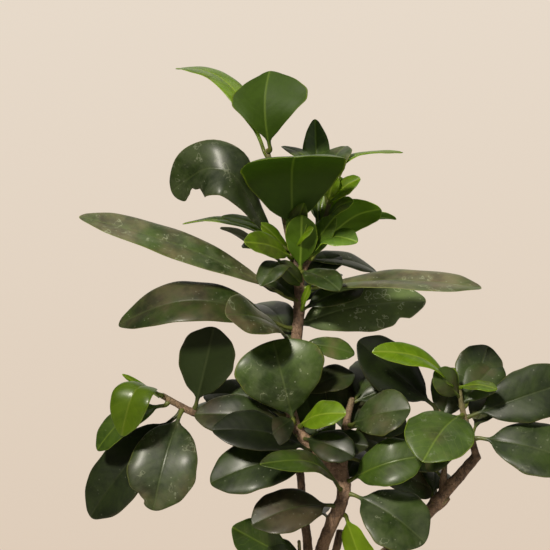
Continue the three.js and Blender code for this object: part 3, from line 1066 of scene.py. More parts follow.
@dataclass
class Leaf:
    """One leaf with its stalk, grown over a plan.

    Wave is the height of the ripples along its edges, curl how far the edges droop, and tip_point
    how much its tip is narrowed. Rows crowd together towards the tip. Softening is how often the
    outline is smoothed. Pattern_step keeps the patterns of leaves with near seeds apart.
    """

    plan: LeafPlan
    age: Age
    seed: int
    look: Look = Look()
    wave: float = 0.5 * MM
    curl: float = 0.16
    tip_point: float = 0.22
    rows: int = 46
    stalk_rows: int = 8
    crowding: float = 1.7
    softening: int = 14
    bites: tuple[Bite, ...] = ()
    stalk_radius: float = 0.85 * MM
    thickness: float = 0.24 * MM
    rib: float = 0.42 * MM
    groove: float = 0.3 * MM
    pattern_step: float = 7.3

    ACROSS = (1, 0.975, 0.9, 0.78, 0.63, 0.47, 0.32, 0.19, 0.1, 0.045)

    def _columns(self) -> tuple[np.ndarray, np.ndarray]:
        """Lays out the columns from the left edge over the top and back underneath.

        Returns:
            Each column's place across the blade, from -1 to 1, and its side, 1 on top, -1 below.
        """
        half = np.array(self.ACROSS)
        top = np.concatenate([-half, [0], half[::-1]])
        below = top[::-1][1:-1]
        side = np.concatenate([[0], np.ones(len(top) - 2), [0], -np.ones(len(below))])
        return np.concatenate([top, below]), side

    def build(self, finishes: dict[Age, bpy.types.Material]) -> bpy.types.Object:
        """Makes the leaf.

        Args:
            finishes: the material for each age.

        Returns:
            The piece.
        """
        plan = self.plan
        draw = np.random.default_rng(self.seed)
        steps = np.linalg.norm(np.diff(plan.spine, axis=0), axis=1)
        knots = np.concatenate([[0], np.cumsum(steps)])
        length, begin = knots[-1], knots[plan.blade_from]
        stalk_rows = np.linspace(0, begin, self.stalk_rows, endpoint=False)
        run = np.linspace(0, 1, self.rows)
        blade_rows = begin + (length - begin) * (1 - (1 - run) ** self.crowding)
        where = np.concatenate([stalk_rows, blade_rows])
        spine = smooth_between(knots, plan.spine, where)
        upper = unit(smooth_between(knots, plan.upper, where))
        blade = np.clip((where - begin) / (length - begin), 0, 1)
        along = unit(np.gradient(spine, axis=0))
        upper = unit(upper - np.sum(upper * along, axis=1, keepdims=True) * along)
        turned = np.radians(self.look.twist) * ease(blade, 0.3, 0.9)[:, None]
        upper = upper * np.cos(turned) + np.cross(along, upper) * np.sin(turned)
        aside = np.cross(along, upper)

        across, side = self._columns()
        a, s = across[None, :], side[None, :]
        b, w = blade[:, None], self._half_widths(knots, where, blade)[:, None]
        flat = ease(blade, 0.0, 0.14)[:, None]
        flattened = flat > 0.98
        edge_w = w * self._nibbled(b, a, draw)
        relief = self._relief(a, s, b, w, draw)
        thickened = 1 + 0.45 * np.exp(-((where / (2.2 * MM)) ** 2))
        radius = self.stalk_radius * thickened[:, None]
        round_up = s * np.sqrt(np.maximum(1 - a**2, 0)) * radius
        out = a * radius * (1 - flat) + a * edge_w * flat
        out = np.where(flattened, a * edge_w, out)
        up = round_up * (1 - flat) + relief * flat
        thinned = np.sqrt(np.clip((1 - blade) * 40, 0, 1))[:, None]
        up = up * np.where(flattened, thinned, 1)

        points = spine[:, None, :] + out[..., None] * aside[:, None, :]
        points = points + up[..., None] * upper[:, None, :]
        grid, faces = tube_faces(len(where), len(across))
        caps = [grid[0][::-1], grid[-1]]
        piece = new_piece("grown_" + plan.name, points.reshape(-1, 3), [*faces, *caps])
        self._keep(piece.data, across, side, edge_w, where - begin, blade, flat)
        piece.data.materials.append(finishes[self.age])
        return piece

    def _half_widths(self, knots: np.ndarray, where: np.ndarray, blade: np.ndarray) -> np.ndarray:
        """Draws the plan's outline towards an oval and smooths it.

        Args:
            knots: how far along the midrib each station of the plan lies.
            where: how far along it each row lies.
            blade: each row's place along the blade, from 0 to 1.

        Returns:
            The half width at each row.
        """
        half, look = self.plan.half, self.look
        wide = np.sqrt(np.maximum(smooth_between(knots, half**2, where)[:, 0], 0))
        oval = half.max() * np.sin(np.pi * blade**look.lean) ** 0.6
        oval = np.where(blade < 0.5, np.maximum(oval, wide[0]), oval)
        wide = np.where(blade > 0, wide + look.fullness * (oval - wide), wide)
        first = self.stalk_rows + 1
        for _ in range(self.softening):
            around = wide[first - 1 : -3] + wide[first + 1 : -1]
            wide[first:-2] = 0.5 * wide[first:-2] + 0.25 * around
        return wide * (1 - self.tip_point * (1 - look.fullness) * ease(blade, 0.84, 0.97))

    def _relief(
        self, a: np.ndarray, s: np.ndarray, b: np.ndarray, w: np.ndarray, draw: np.random.Generator
    ) -> np.ndarray:
        """Shapes the blade's fold, drooping edges, ripples, dents, rib and groove.

        Args:
            a: each column's place across the blade, from -1 to 1.
            s: each column's side, 1 on top and -1 below.
            b: each row's place along the blade, from 0 to 1.
            w: each row's half width.
            draw: the leaf's own random draws.

        Returns:
            How far each point stands above the midrib, towards the upper side.
        """
        shape = np.sin(np.pi * np.clip(b, 0, 1)) ** 0.6
        phase = draw.uniform(0, 2 * np.pi, 4)
        turns = draw.uniform(1.2, 2.4, 2)
        left, right = (np.sin(2 * np.pi * turns[i] * b + phase[i]) for i in (0, 1))
        ripple = np.where(a < 0, left, right)
        dents = np.sin(190 * w * a + phase[2]) * np.sin(9 * b + phase[3])
        height = self.plan.fold * np.abs(a) ** 1.25 * w - self.curl * w * a**4 * shape
        height = height + shape * (self.wave * ripple * a**2 + 0.18 * MM * dents)
        ridge = np.exp(-((a * w / (1.1 * MM)) ** 2)) * (1 - 0.75 * b)
        crease = np.exp(-((a * w / (0.7 * MM)) ** 2)) * (1 - 0.8 * b)
        body = self.thickness * np.sqrt(np.maximum(1 - np.abs(a) ** 6, 0))
        skin = np.where(s > 0, body - self.groove * crease, -body - self.rib * ridge)
        return height + np.where(s == 0, 0, skin)

    def _nibbled(self, b: np.ndarray, a: np.ndarray, draw: np.random.Generator) -> np.ndarray:
        """Cuts the bites and adds small wobbles to the edges.

        Args:
            b: each row's place along the blade, from 0 to 1.
            a: each column's place across it, from -1 to 1.
            draw: the leaf's own random draws.

        Returns:
            The share of the half width that is left at each point.
        """
        phase = draw.uniform(0, 2 * np.pi, 3)
        wobble = 0.012 * (np.sin(17 * b + phase[0]) + np.sin(29 * b * np.sign(a) + phase[1]))
        left = 1 + wobble * np.abs(a)
        for bite in self.bites:
            hollow = np.exp(-np.abs((b - bite.place) / bite.span) ** 3)
            ragged = 1 + 0.12 * np.sin(90 * b + phase[2])
            left = left - (np.sign(a) == bite.edge.value) * bite.depth * ragged * hollow
        return left

    def _keep(
        self,
        mesh: bpy.types.Mesh,
        across: np.ndarray,
        side: np.ndarray,
        edge_w: np.ndarray,
        run: np.ndarray,
        blade: np.ndarray,
        flat: np.ndarray,
    ) -> None:
        """Stores what the finish reads: the place in millimetres, the side, the edge and the look.

        Args:
            mesh: the leaf's mesh.
            across: each column's place across the blade.
            side: 1 for a column on top, -1 for one below.
            edge_w: the half width at each point.
            run: each row's distance from the start of the blade.
            blade: each row's place along the blade, from 0 to 1.
            flat: how far each row has turned from stalk to blade.
        """
        rows, columns = len(run), len(across)
        place = np.zeros((rows, columns, 3))
        place[..., 0] = across * edge_w * 1000
        place[..., 1] = (run * 1000)[:, None]
        place[..., 2] = self.seed * self.pattern_step
        state = np.zeros((rows, columns, 3))
        state[..., 0] = np.where(side < 0, 1.0, 0.0) * flat
        rim = np.tile(np.abs(across), (rows, 1))
        near_tip = ease(blade, 0.955, 1.0)[:, None]
        state[..., 1] = np.maximum(rim * ease(blade, 0.0, 0.1)[:, None], near_tip)
        look = (self.look.tone, self.look.brown, self.look.dusty)
        store(mesh, "leaf_place", place.reshape(-1, 3))
        store(mesh, "leaf_state", state.reshape(-1, 3))
        store(mesh, "leaf_look", np.tile(look, (rows * columns, 1)))
        uv = mesh.uv_layers.new(name="leaf_map")
        u = np.tile((across + 1) / 4 + np.where(side < 0, 0.5, 0), (rows, 1))
        v = np.repeat((run - run[0]) / (run[-1] - run[0]), columns)
        loops = read(mesh.loops, "vertex_index", 1, np.int32)[:, 0]
        uv.data.foreach_set("uv", np.stack([u.ravel()[loops], v[loops]], -1).ravel())


# ------------------------------------------------------------------------------ wood


@dataclass
class Wood:
    """All stems and the stock, smoothed, knobbed and given their bark."""

    stems: tuple[str, ...] = ("middle_stem", "left_stem", "right_stem", "cut_stub")
    stock: str = "root_stock"
    stem_voxel: float = 0.42 * MM
    stock_voxel: float = 0.9 * MM
    stem_relief: float = 0.28 * MM
    stock_relief: float = 0.7 * MM
    stem_grain: float = 260.0
    stock_grain: float = 70.0
    joint_swell: float = 0.75 * MM
    thickest: float = 30 * MM
    joint_radius: float = 2.3 * MM
    scar_radius: float = 1.7 * MM
    feet: list[Vector] = field(default_factory=list)
    tree: BVHTree | None = None

    def survey(self) -> None:
        """Makes the search tree over the stems, which leaves use to find their wood."""
        points, faces, base = [], [], 0
        for name in self.stems:
            co, triangles = corners(name)
            points.extend(map(Vector, co))
            faces.extend((triangles + base).tolist())
            base += len(co)
        self.tree = BVHTree.FromPolygons(points, faces)

    def nearest(self, place: Sequence[float]) -> tuple[Vector, Vector]:
        """Finds the wood nearest to a place.

        Args:
            place: the place.

        Returns:
            The nearest point of a stem's surface, and its outward normal.
        """
        spot, normal, _, _ = self.tree.find_nearest(Vector(place))
        return spot, normal

    def _shape(self, name: str, voxel: float, extra: list[tuple[Vector, float]]) -> bpy.types.Object:
        """Makes a smooth copy of a node.

        Args:
            name: the node's name.
            voxel: the size of the copy's faces.
            extra: the centres and radii of balls of wood to add to it.

        Returns:
            The copy.
        """
        co, triangles = corners(name)
        piece = new_piece("grown_" + name, co, triangles)
        if extra:
            shell = bmesh.new()
            shell.from_mesh(piece.data)
            for centre, radius in extra:
                made = bmesh.ops.create_icosphere(shell, subdivisions=3, radius=radius)
                bmesh.ops.translate(shell, verts=made["verts"], vec=centre)
            shell.to_mesh(piece.data)
            shell.free()
        add_remesh(piece, voxel)
        soften = piece.modifiers.new("soften", "SMOOTH")
        soften.factor, soften.iterations = 0.6, 10
        return settle(piece)

    def _knobs(self, piece: bpy.types.Object, relief: float, grain: float, swell: float) -> None:
        """Gives a piece its bark relief, its swollen leaf joints and the marks its finish reads.

        Args:
            piece: the smooth copy.
            relief: how far the bark stands out.
            grain: how fine its relief is.
            swell: how far the leaf joints stand out.
        """
        mesh = piece.data
        count = len(mesh.vertices)
        co = read(mesh.vertices, "co", 3, np.float32).astype(float)
        normals = read(mesh.vertex_normals, "vector", 3, np.float32).astype(float)
        tree = BVHTree.FromObject(piece, bpy.context.evaluated_depsgraph_get())
        thick = np.empty(count)
        rough = np.empty(count)
        for i, (p, n) in enumerate(zip(co, normals)):
            place, inward = Vector(p), -Vector(n)
            hit = tree.ray_cast(place + inward * 0.2 * MM, inward, self.thickest)[3]
            thick[i] = hit if hit is not None else self.thickest
            rough[i] = noise.fractal(place * grain, 0.9, 2.1, 4)
            rough[i] += 0.8 * abs(noise.noise(Vector((p[0], p[1], p[2] * 0.5)) * grain * 0.55))
        scar = np.zeros(count)
        bulge = np.zeros(count)
        for foot in self.feet:
            d = np.linalg.norm(co - np.array(foot), axis=1)
            bulge = np.maximum(bulge, swell * np.exp(-((d / self.joint_radius) ** 2)))
            scar = np.maximum(scar, np.exp(-((d / self.scar_radius) ** 2)))
        share = ease(thick, 0.002, 0.007)
        out = relief * rough * (0.25 + 0.75 * share) + bulge * (0.35 + 0.65 * share)
        co += normals * out[:, None]
        mesh.vertices.foreach_set("co", co.astype(np.float32).ravel())
        state = np.stack([1 - ease(thick, 0.0014, 0.003), scar, np.zeros(count)], -1)
        store(mesh, "wood_state", state)
        mesh.update()

    def build(self, effects: SharedEffects) -> None:
        """Builds the stems and the stock and hands them over.

        Args:
            effects: the shared node groups.
        """
        bark, old_bark = STEM_BARK.build(effects), STOCK_BARK.build(effects)
        grafts = []
        for name in self.stems:
            co, _ = corners(name)
            low = co[co[:, 2] < co[:, 2].min() + 5 * MM]
            centre = low.mean(axis=0)
            radius = float(np.linalg.norm((low - centre)[:, :2], axis=1).max())
            grafts.append((Vector(centre) - Vector((0, 0, radius * 0.9)), radius * 1.45 + 0.6 * MM))
            piece = self._shape(name, self.stem_voxel, [])
            self._knobs(piece, self.stem_relief, self.stem_grain, self.joint_swell)
            piece.data.materials.append(bark)
            hand_over(piece, "stem_bark", name)
        stock = self._shape(self.stock, self.stock_voxel, grafts)
        self._knobs(stock, self.stock_relief, self.stock_grain, 0.0)
        stock.data.materials.append(old_bark)
        hand_over(stock, "stock_bark", self.stock)


# ------------------------------------------------------------------------------ foliage


@dataclass(frozen=True)
class Sprig:
    """A small leaf that has no CAD node.

    All its measures are in millimetres. Near is a place by the wood that it grows from and tip its
    own end, both from the crown point. Faces is where its upper side looks, and bow how far its
    midrib is arched.
    """

    near: Vec3
    tip: Vec3
    width: float
    faces: Vec3
    bow: float
    age: Age
    # its brightness, which also paints in the light or shade that falls on the leaf
    tone: float = 0.85


OLD, GREEN, YOUNG = Age.OLD, Age.GREEN, Age.YOUNG
# A last number, where given, is the leaf's brightness, which paints in how lit or shaded it is.
SPRIGS = (
    Sprig((5, 2, 184), (-15, 12, 210), 9, (0, -0.4, 1), 8, GREEN),
    Sprig((6, -1, 184), (20, -8, 195), 11, (0, -0.7, 0.7), 2, YOUNG),
    Sprig((6, -1, 186), (9, -7, 197), 8, (-0.2, -0.9, 0.4), 1, YOUNG),
    Sprig((-9, -2, 164), (-1, -13, 173), 8, (0, -0.8, 0.6), 2, YOUNG),
    Sprig((-12, 0, 164), (-42, -4, 178), 9, (0, -0.5, 0.8), 4, YOUNG),
    Sprig((-7, 0, 136), (-2, -8, 148), 4, (-0.5, -0.8, 0.2), 1, YOUNG),
    Sprig((-3, 4, 20), (-22, -4, 28), 16, (0, -0.8, 0.5), 2, OLD),
    Sprig((65, -1, 97), (53, -8, 109), 14, (0.2, -0.9, 0.3), 2, GREEN),
    Sprig((65, -1, 101), (81, -10, 101), 9, (0, -0.5, 0.9), 2, YOUNG),
    Sprig((65, -1, 101), (57, -6, 106), 6, (0, -0.7, 0.7), 1, YOUNG),
    Sprig((17, 3, 82), (42, 12, 85), 18, (0, -0.8, 0.5), 2, OLD),
    Sprig((-8, 1, 121), (18, 2, 116), 12, (0, -0.8, 0.6), 2, OLD, 1.7),
    Sprig((17, 4, 94), (42, 4, 102), 14, (0, -0.8, 0.6), 2, OLD),
    Sprig((7, 1, 184), (14, 9, 210), 20, (-0.4, -0.45, 0.8), 7, OLD, 1.8),
    Sprig((-5, -3, 78), (17, -17, 72), 17, (0, -0.8, 0.5), 3, OLD, 0.5),
    Sprig((-8, -3, 88), (-24, -16, 76), 15, (-0.1, -0.8, 0.5), 3, OLD, 0.4),
    Sprig((65, -1, 101), (62, -4, 110), 3, (0, -1, 0), 0, YOUNG, 1.2),
    Sprig((-84, -3, 98), (-86.5, -5, 107.5), 3, (0, -1, 0), 0, YOUNG, 0.7),
    Sprig((-9, 1, 95), (-37, 14, 100), 20, (0, -0.8, 0.5), 3, OLD),
    Sprig((8, -2, 65), (-6, 20, 102), 22, (0, -0.9, 0.3), 3, OLD),
    Sprig((13, 2, 78), (16, 18, 106), 20, (0, -0.9, 0.3), 2, OLD),
    Sprig((57, 5, 84), (66, 18, 108), 20, (0, -0.9, 0.3), 2, OLD),
    Sprig((14, 2, 80), (34, 20, 70), 21, (0, -0.8, 0.5), 3, OLD),
    Sprig((58, 4, 60), (34, 14, 78), 20, (0, -0.8, 0.5), 3, OLD),
    Sprig((-7, 8, 62), (-38, 16, 70), 20, (0, -0.8, 0.5), 3, OLD),
    Sprig((70, 0, 78), (48, 8, 66), 19, (0, -0.8, 0.5), 3, OLD),
    Sprig((66, 0, 92), (84, 12, 112), 20, (0, -0.8, 0.5), 3, OLD),
    Sprig((-7, 0, 140), (-24, 12, 152), 14, (0, -0.7, 0.6), 3, OLD),
    Sprig((-7, 0, 136), (22, 10, 146), 15, (0, -0.7, 0.6), 3, OLD),
    Sprig((5, 0, 177), (17, -9, 185), 10, (0.2, -0.7, 0.7), 2, GREEN, 2.1),
    Sprig((-4, 0, 157), (9, -9, 178), 12, (-0.3, -0.8, 0.4), 2, GREEN, 2.0),
    Sprig((-10, 0, 160), (-5, -11, 184), 11, (-0.4, -0.9, 0.3), 2, GREEN, 1.8),
    Sprig((-10, 0, 160), (-25, -9, 175), 9, (0, -0.7, 0.7), 2, YOUNG, 0.8),
    Sprig((3, 0, 171), (12, 8, 196), 11, (0, -0.9, 0.3), 1, YOUNG, 1.1),
    Sprig((-6, 0, 150), (12, 12, 160), 13, (0, -0.7, 0.6), 2, OLD),
    Sprig((-11, 0, 163), (-33, 12, 165), 12, (0, -0.6, 0.8), 3, OLD),
    Sprig((-7, 0, 146), (-17, -12, 158), 9, (-0.2, -0.9, 0.4), 2, GREEN),
    Sprig((-9, 1, 120), (-27, 33, 137), 21, (-0.2, 0.1, 1), 6, OLD),
    Sprig((-8, 1, 137), (10, 34, 151), 20, (0.3, 0.3, 1), 6, GREEN),
    Sprig((-10, 2, 100), (-34, 33, 95), 22, (-0.3, 0.5, 1), 7, OLD),
    Sprig((12, -4, 56), (26, 34, 71), 23, (0.4, 0.1, 1), 6, OLD),
    Sprig((59, 5, 80), (52, 37, 74), 22, (-0.2, 0.6, 1), 8, OLD),
    Sprig((70, 0, 80), (86, 31, 99), 22, (0.3, -0.1, 1), 5, OLD),
    Sprig((-42, 4, 84), (-44, 35, 90), 22, (-0.4, 0.6, 1), 7, OLD),
    Sprig((-20, 7, 78), (-14, 37, 92), 22, (0.2, -0.3, 1), 4, OLD),
    Sprig((8, -4, 42), (-9, 33, 30), 22, (-0.3, 0.8, 0.9), 7, OLD),
    Sprig((5, 0, 170), (3, 24, 189), 16, (0, 0.1, 1), 5, GREEN),
    Sprig((17, 4, 94), (30, 31, 109), 20, (0.2, -0.4, 1), 4, OLD),
    Sprig((52, 3, 52), (52, 33, 60), 20, (0.3, 0.7, 1), 6, OLD),
)


@dataclass
class Foliage:
    """All leaves of the tree."""

    wood: Wood
    crown: Vector
    seed: int = 11
    leaves: list[Leaf] = field(default_factory=list)

    # Each listed leaf's brightness is painted light and shade: above 1 where the leaf is lit, below 1
    # where it lies in shade.
    LOOKS = {
        "middle_leaf_front": Look(1.5, -0.3, 0.0, fullness=0.95, lean=1.7),
        "top_leaf_front": Look(0.85, -0.4, -0.3, fullness=1.5, lean=1.6),
        "top_leaf_broad": Look(1.1, -0.4, -0.3, fullness=0.5, lean=1.3),
        "crown_leaf_folded": Look(1.7, -0.4, -0.3),
        "crown_leaf_right": Look(2.3, -0.4, -0.3),
        "crown_leaf_arched": Look(1.9, -0.3, -0.2),
        "crown_leaf_curled": Look(2.2, -0.4, -0.3),
        "middle_leaf_left": Look(0.75, 0.12, -0.12),
        "middle_leaf_awning": Look(1.0, 0.1, 0.0, fullness=0.7, lean=1.3, twist=-25.0),
        "middle_leaf_right": Look(2.0, -0.3, 0.25),
        "left_leaf_upright": Look(0.55, -0.4, -0.3),
        "left_leaf_tip": Look(0.5, -0.3, -0.3),
        "right_leaf_bright": Look(1.1, -0.3, -0.3, fullness=0.9, lean=1.0, twist=-32.0),
        "left_leaf_far": Look(0.35, -0.3, -0.2),
        "left_leaf_near": Look(0.85, 0.0, 0.05),
        "crook_leaf_low": Look(0.6, 0.25, 0.0),
        "crook_leaf_broad": Look(0.95, -0.2, 0.05),
        "crown_leaf_bitten": Look(0.65, -0.3, 0.05, fullness=0.85, lean=1.9, twist=-52.0),
        "crown_leaf_long_left": Look(1.4, 0.15, 0.05, fullness=0.0),
        "crown_leaf_long_right": Look(1.5, 0.2, 0.1, fullness=0.0),
        "crown_leaf_grey": Look(1.2, 0.0, 0.1),
        "right_leaf_inner": Look(0.25, -0.3, -0.3),
        "right_leaf_high": Look(0.7, -0.3, -0.15),
        "right_leaf_low": Look(0.9, -0.2, 0.0),
        "middle_leaf_glossy": Look(0.25, -0.2, -0.2),
        "middle_leaf_drooping": Look(0.7, -0.2, -0.1),
        "middle_leaf_brown": Look(0.7, 0.1, -0.1),
        "middle_leaf_hidden": Look(0.8, 0.0, -0.2),
        "middle_leaf_under": Look(0.7, 0.0, -0.2),
        "middle_leaf_dark": Look(0.6, 0.1, -0.2),
        "crook_leaf_left": Look(0.8, 0.1, -0.05),
        "crook_leaf_right": Look(0.9, -0.1, 0.0),
        "right_leaf_near": Look(1.25, 0.0, 0.05),
    }
    BITES = {
        "crown_leaf_bitten": (Bite(Edge.LEFT, 0.8, 0.08, 0.5),),
        "middle_leaf_right": (Bite(Edge.RIGHT, 0.8, 0.05, 0.25),),
        "left_leaf_near": (Bite(Edge.RIGHT, 0.9, 0.06, 0.35),),
    }
    BACKWARDS = ("middle_leaf_right",)  # its edges fall away from its upper side

    def plan(self) -> None:
        """Reads the leaf nodes, adds the small leaves and finds each one's place on the wood."""
        draw = np.random.default_rng(self.seed)
        slots = {part["node"]: part["material_slot"] for part in frame["record"]["subparts"]}
        ages = {age.value: age for age in Age}
        for number, name in enumerate(sorted(n for n in frame["nodes"] if "_leaf_" in n)):
            plan = LeafPlan.from_node(name)
            if name in self.BACKWARDS:
                plan.upper, plan.fold = -plan.upper, -plan.fold
            self._root(plan)
            chance = Look(*draw.uniform((0.88, -0.1, -0.15), (1.15, 0.1, 0.05)))
            look, bites = self.LOOKS.get(name, chance), self.BITES.get(name, ())
            self.leaves.append(Leaf(plan, ages[slots[name]], number + 1, look, bites=bites))
        crown = np.array(self.crown)
        for number, sprig in enumerate(SPRIGS):
            near = crown + np.array(sprig.near) * MM
            foot = np.array(self.wood.nearest(near)[0])
            tip = crown + np.array(sprig.tip) * MM
            plan = LeafPlan.from_growth(
                f"small_leaf_{number + 1:02d}", foot, tip, sprig.width * MM, sprig.faces, sprig.bow * MM
            )
            self.wood.feet.append(Vector(foot))
            self.leaves.append(
                Leaf(
                    plan,
                    sprig.age,
                    seed=100 + number,
                    look=Look(sprig.tone, 0.0, -0.1),
                    wave=0.25 * MM,
                    rows=26,
                    stalk_radius=0.6 * MM,
                )
            )

    def _root(self, plan: LeafPlan) -> None:
        """Starts a leaf's stalk just inside its stem.

        Args:
            plan: the leaf's plan, whose first point is moved.
        """
        spot, normal = self.wood.nearest(plan.spine[0])
        plan.spine[0] = np.array(spot - normal * 0.4 * MM)
        self.wood.feet.append(spot)

    def build(self, effects: SharedEffects) -> None:
        """Builds each leaf and hands it over.

        Args:
            effects: the shared node groups.
        """
        finishes = {age: LEAF_FINISHES[age].build(effects) for age in Age}
        for leaf in self.leaves:
            piece = leaf.build(finishes)
            nodes = [leaf.plan.name] if leaf.plan.name in frame["nodes"] else []
            hand_over(piece, leaf.age.value, *nodes)


# ------------------------------------------------------------------------------ pot and soil


@dataclass
class Pot:
    """The thrown pot with its drain holes and the screen over them."""

    node: str = "pot"
    screen: str = "drain_screen"
    segments: int = 144
    rounding: int = 3
    throwing_ring: float = 0.18 * MM
    throwing_pitch: float = 1.1 * MM
    plain_foot: float = 8 * MM
    plain_rim: float = 10 * MM
    ring_points: int = 40  # every ring of the node has at least as many points, other rows fewer

    def profile(self) -> np.ndarray:
        """Reads the pot's section from its node.

        Returns:
            Radius and height, from the underside's middle round the rim to the middle of its floor.
        """
        co, _ = corners(self.node)
        pairs = np.round(np.stack([np.hypot(co[:, 0], co[:, 1]), co[:, 2]], -1), 5)
        rings, counts = np.unique(pairs, axis=0, return_counts=True)
        rings = rings[counts >= self.ring_points]
        top = rings[rings[:, 1] == rings[:, 1].max()]
        foot = rings[rings[:, 1] == rings[:, 1].min()]
        low, high = foot[:, 0].max(), top[:, 0].mean()
        wall = np.interp(rings[:, 1], [0, top[0, 1]], [low - 2 * MM, high])
        outside = rings[rings[:, 0] > wall]
        inside = rings[rings[:, 0] <= wall]
        outside = outside[np.argsort(outside[:, 1], kind="stable")]
        inside = inside[np.argsort(-inside[:, 1], kind="stable")]
        return np.concatenate([[[0.0, outside[0, 1]]], outside, inside, [[0.0, inside[-1, 1]]]])

    def _rounded(self, line: np.ndarray) -> np.ndarray:
        """Cuts a line's corners and adds points along its long runs.

        Args:
            line: the line's points.

        Returns:
            The rounded line.
        """
        for _ in range(self.rounding):
            fresh = [line[0]]
            for a, b in zip(line[:-1], line[1:]):
                cut = min(0.25, 1.2 * MM / max(np.linalg.norm(b - a), 1e-6))
                fresh += [a + (b - a) * cut, b - (b - a) * cut]
            line = np.array([*fresh, line[-1]])
        filled = [line[0]]
        for a, b in zip(line[:-1], line[1:]):
            count = max(1, int(np.linalg.norm(b - a) / (2 * MM)))
            filled += [a + (b - a) * (k + 1) / count for k in range(count)]
        return np.array(filled)

    def build(self, effects: SharedEffects) -> None:
        """Builds the pot, dresses the screen and hands the pot over.

        Args:
            effects: the shared node groups.
        """
        line = self._rounded(self.profile())[1:-1]
        rim = float(line[:, 1].max())
        wall = (line[:, 1] > self.plain_foot) & (line[:, 1] < rim - self.plain_rim)
        line[:, 0] += np.where(wall, self.throwing_ring * np.sin(line[:, 1] / self.throwing_pitch), 0)
        turn = np.linspace(0, 2 * np.pi, self.segments, endpoint=False)
        rings = np.stack(
            [line[:, :1] * np.cos(turn), line[:, :1] * np.sin(turn), line[:, 1:] + 0 * turn], -1
        )
        grid, faces = tube_faces(len(line), self.segments)
        piece = new_piece("thrown_pot", rings.reshape(-1, 3), [*faces, grid[0][::-1], grid[-1]])
        drill = self._drill()
        cut = piece.modifiers.new("holes", "BOOLEAN")
        cut.operation, cut.solver, cut.object = "DIFFERENCE", "EXACT", drill
        settle(piece)
        bpy.data.objects.remove(drill)
        piece.data.polygons.foreach_set("use_smooth", [True] * len(piece.data.polygons))
        piece.data.set_sharp_from_angle(angle=math.radians(40))
        piece.data.materials.clear()
        piece.data.materials.append(GlazeFinish().build(effects, rim))
        hand_over(piece, "glaze", self.node)
        screen = frame["nodes"][self.screen]
        plastic = PlainFinish("screen_plastic", (0.02, 0.021, 0.024), 0.5)
        screen.data.materials[0] = plastic.build(effects)
        log.info("%s: dressed", self.screen)

    def _drill(self) -> bpy.types.Object:
        """Makes a rod for each drain hole of the pot's node.

        Returns:
            The rods as one object.
        """
        drains = [o for o in frame["record"]["physics"]["openings"] if o["name"].startswith("drain_")]
        co, _ = corners(self.node)
        under = co[np.abs(co[:, 2]) < 1e-6]
        shell = bmesh.new()
        for drain in drains:
            low, high = (np.array(c) for c in drain["box_m"])
            middle = (low + high) / 2
            reach = np.linalg.norm(under[:, :2] - middle[:2], axis=1)
            radius = float(np.min(reach[reach > 1 * MM]))
            made = bmesh.ops.create_cone(
                shell, cap_ends=True, segments=40, radius1=radius, radius2=radius, depth=0.03
            )
            bmesh.ops.translate(shell, verts=made["verts"], vec=Vector((middle[0], middle[1], 0)))
        mesh = bpy.data.meshes.new("drill")
        shell.to_mesh(mesh)
        shell.free()
        return placed("drill", mesh)


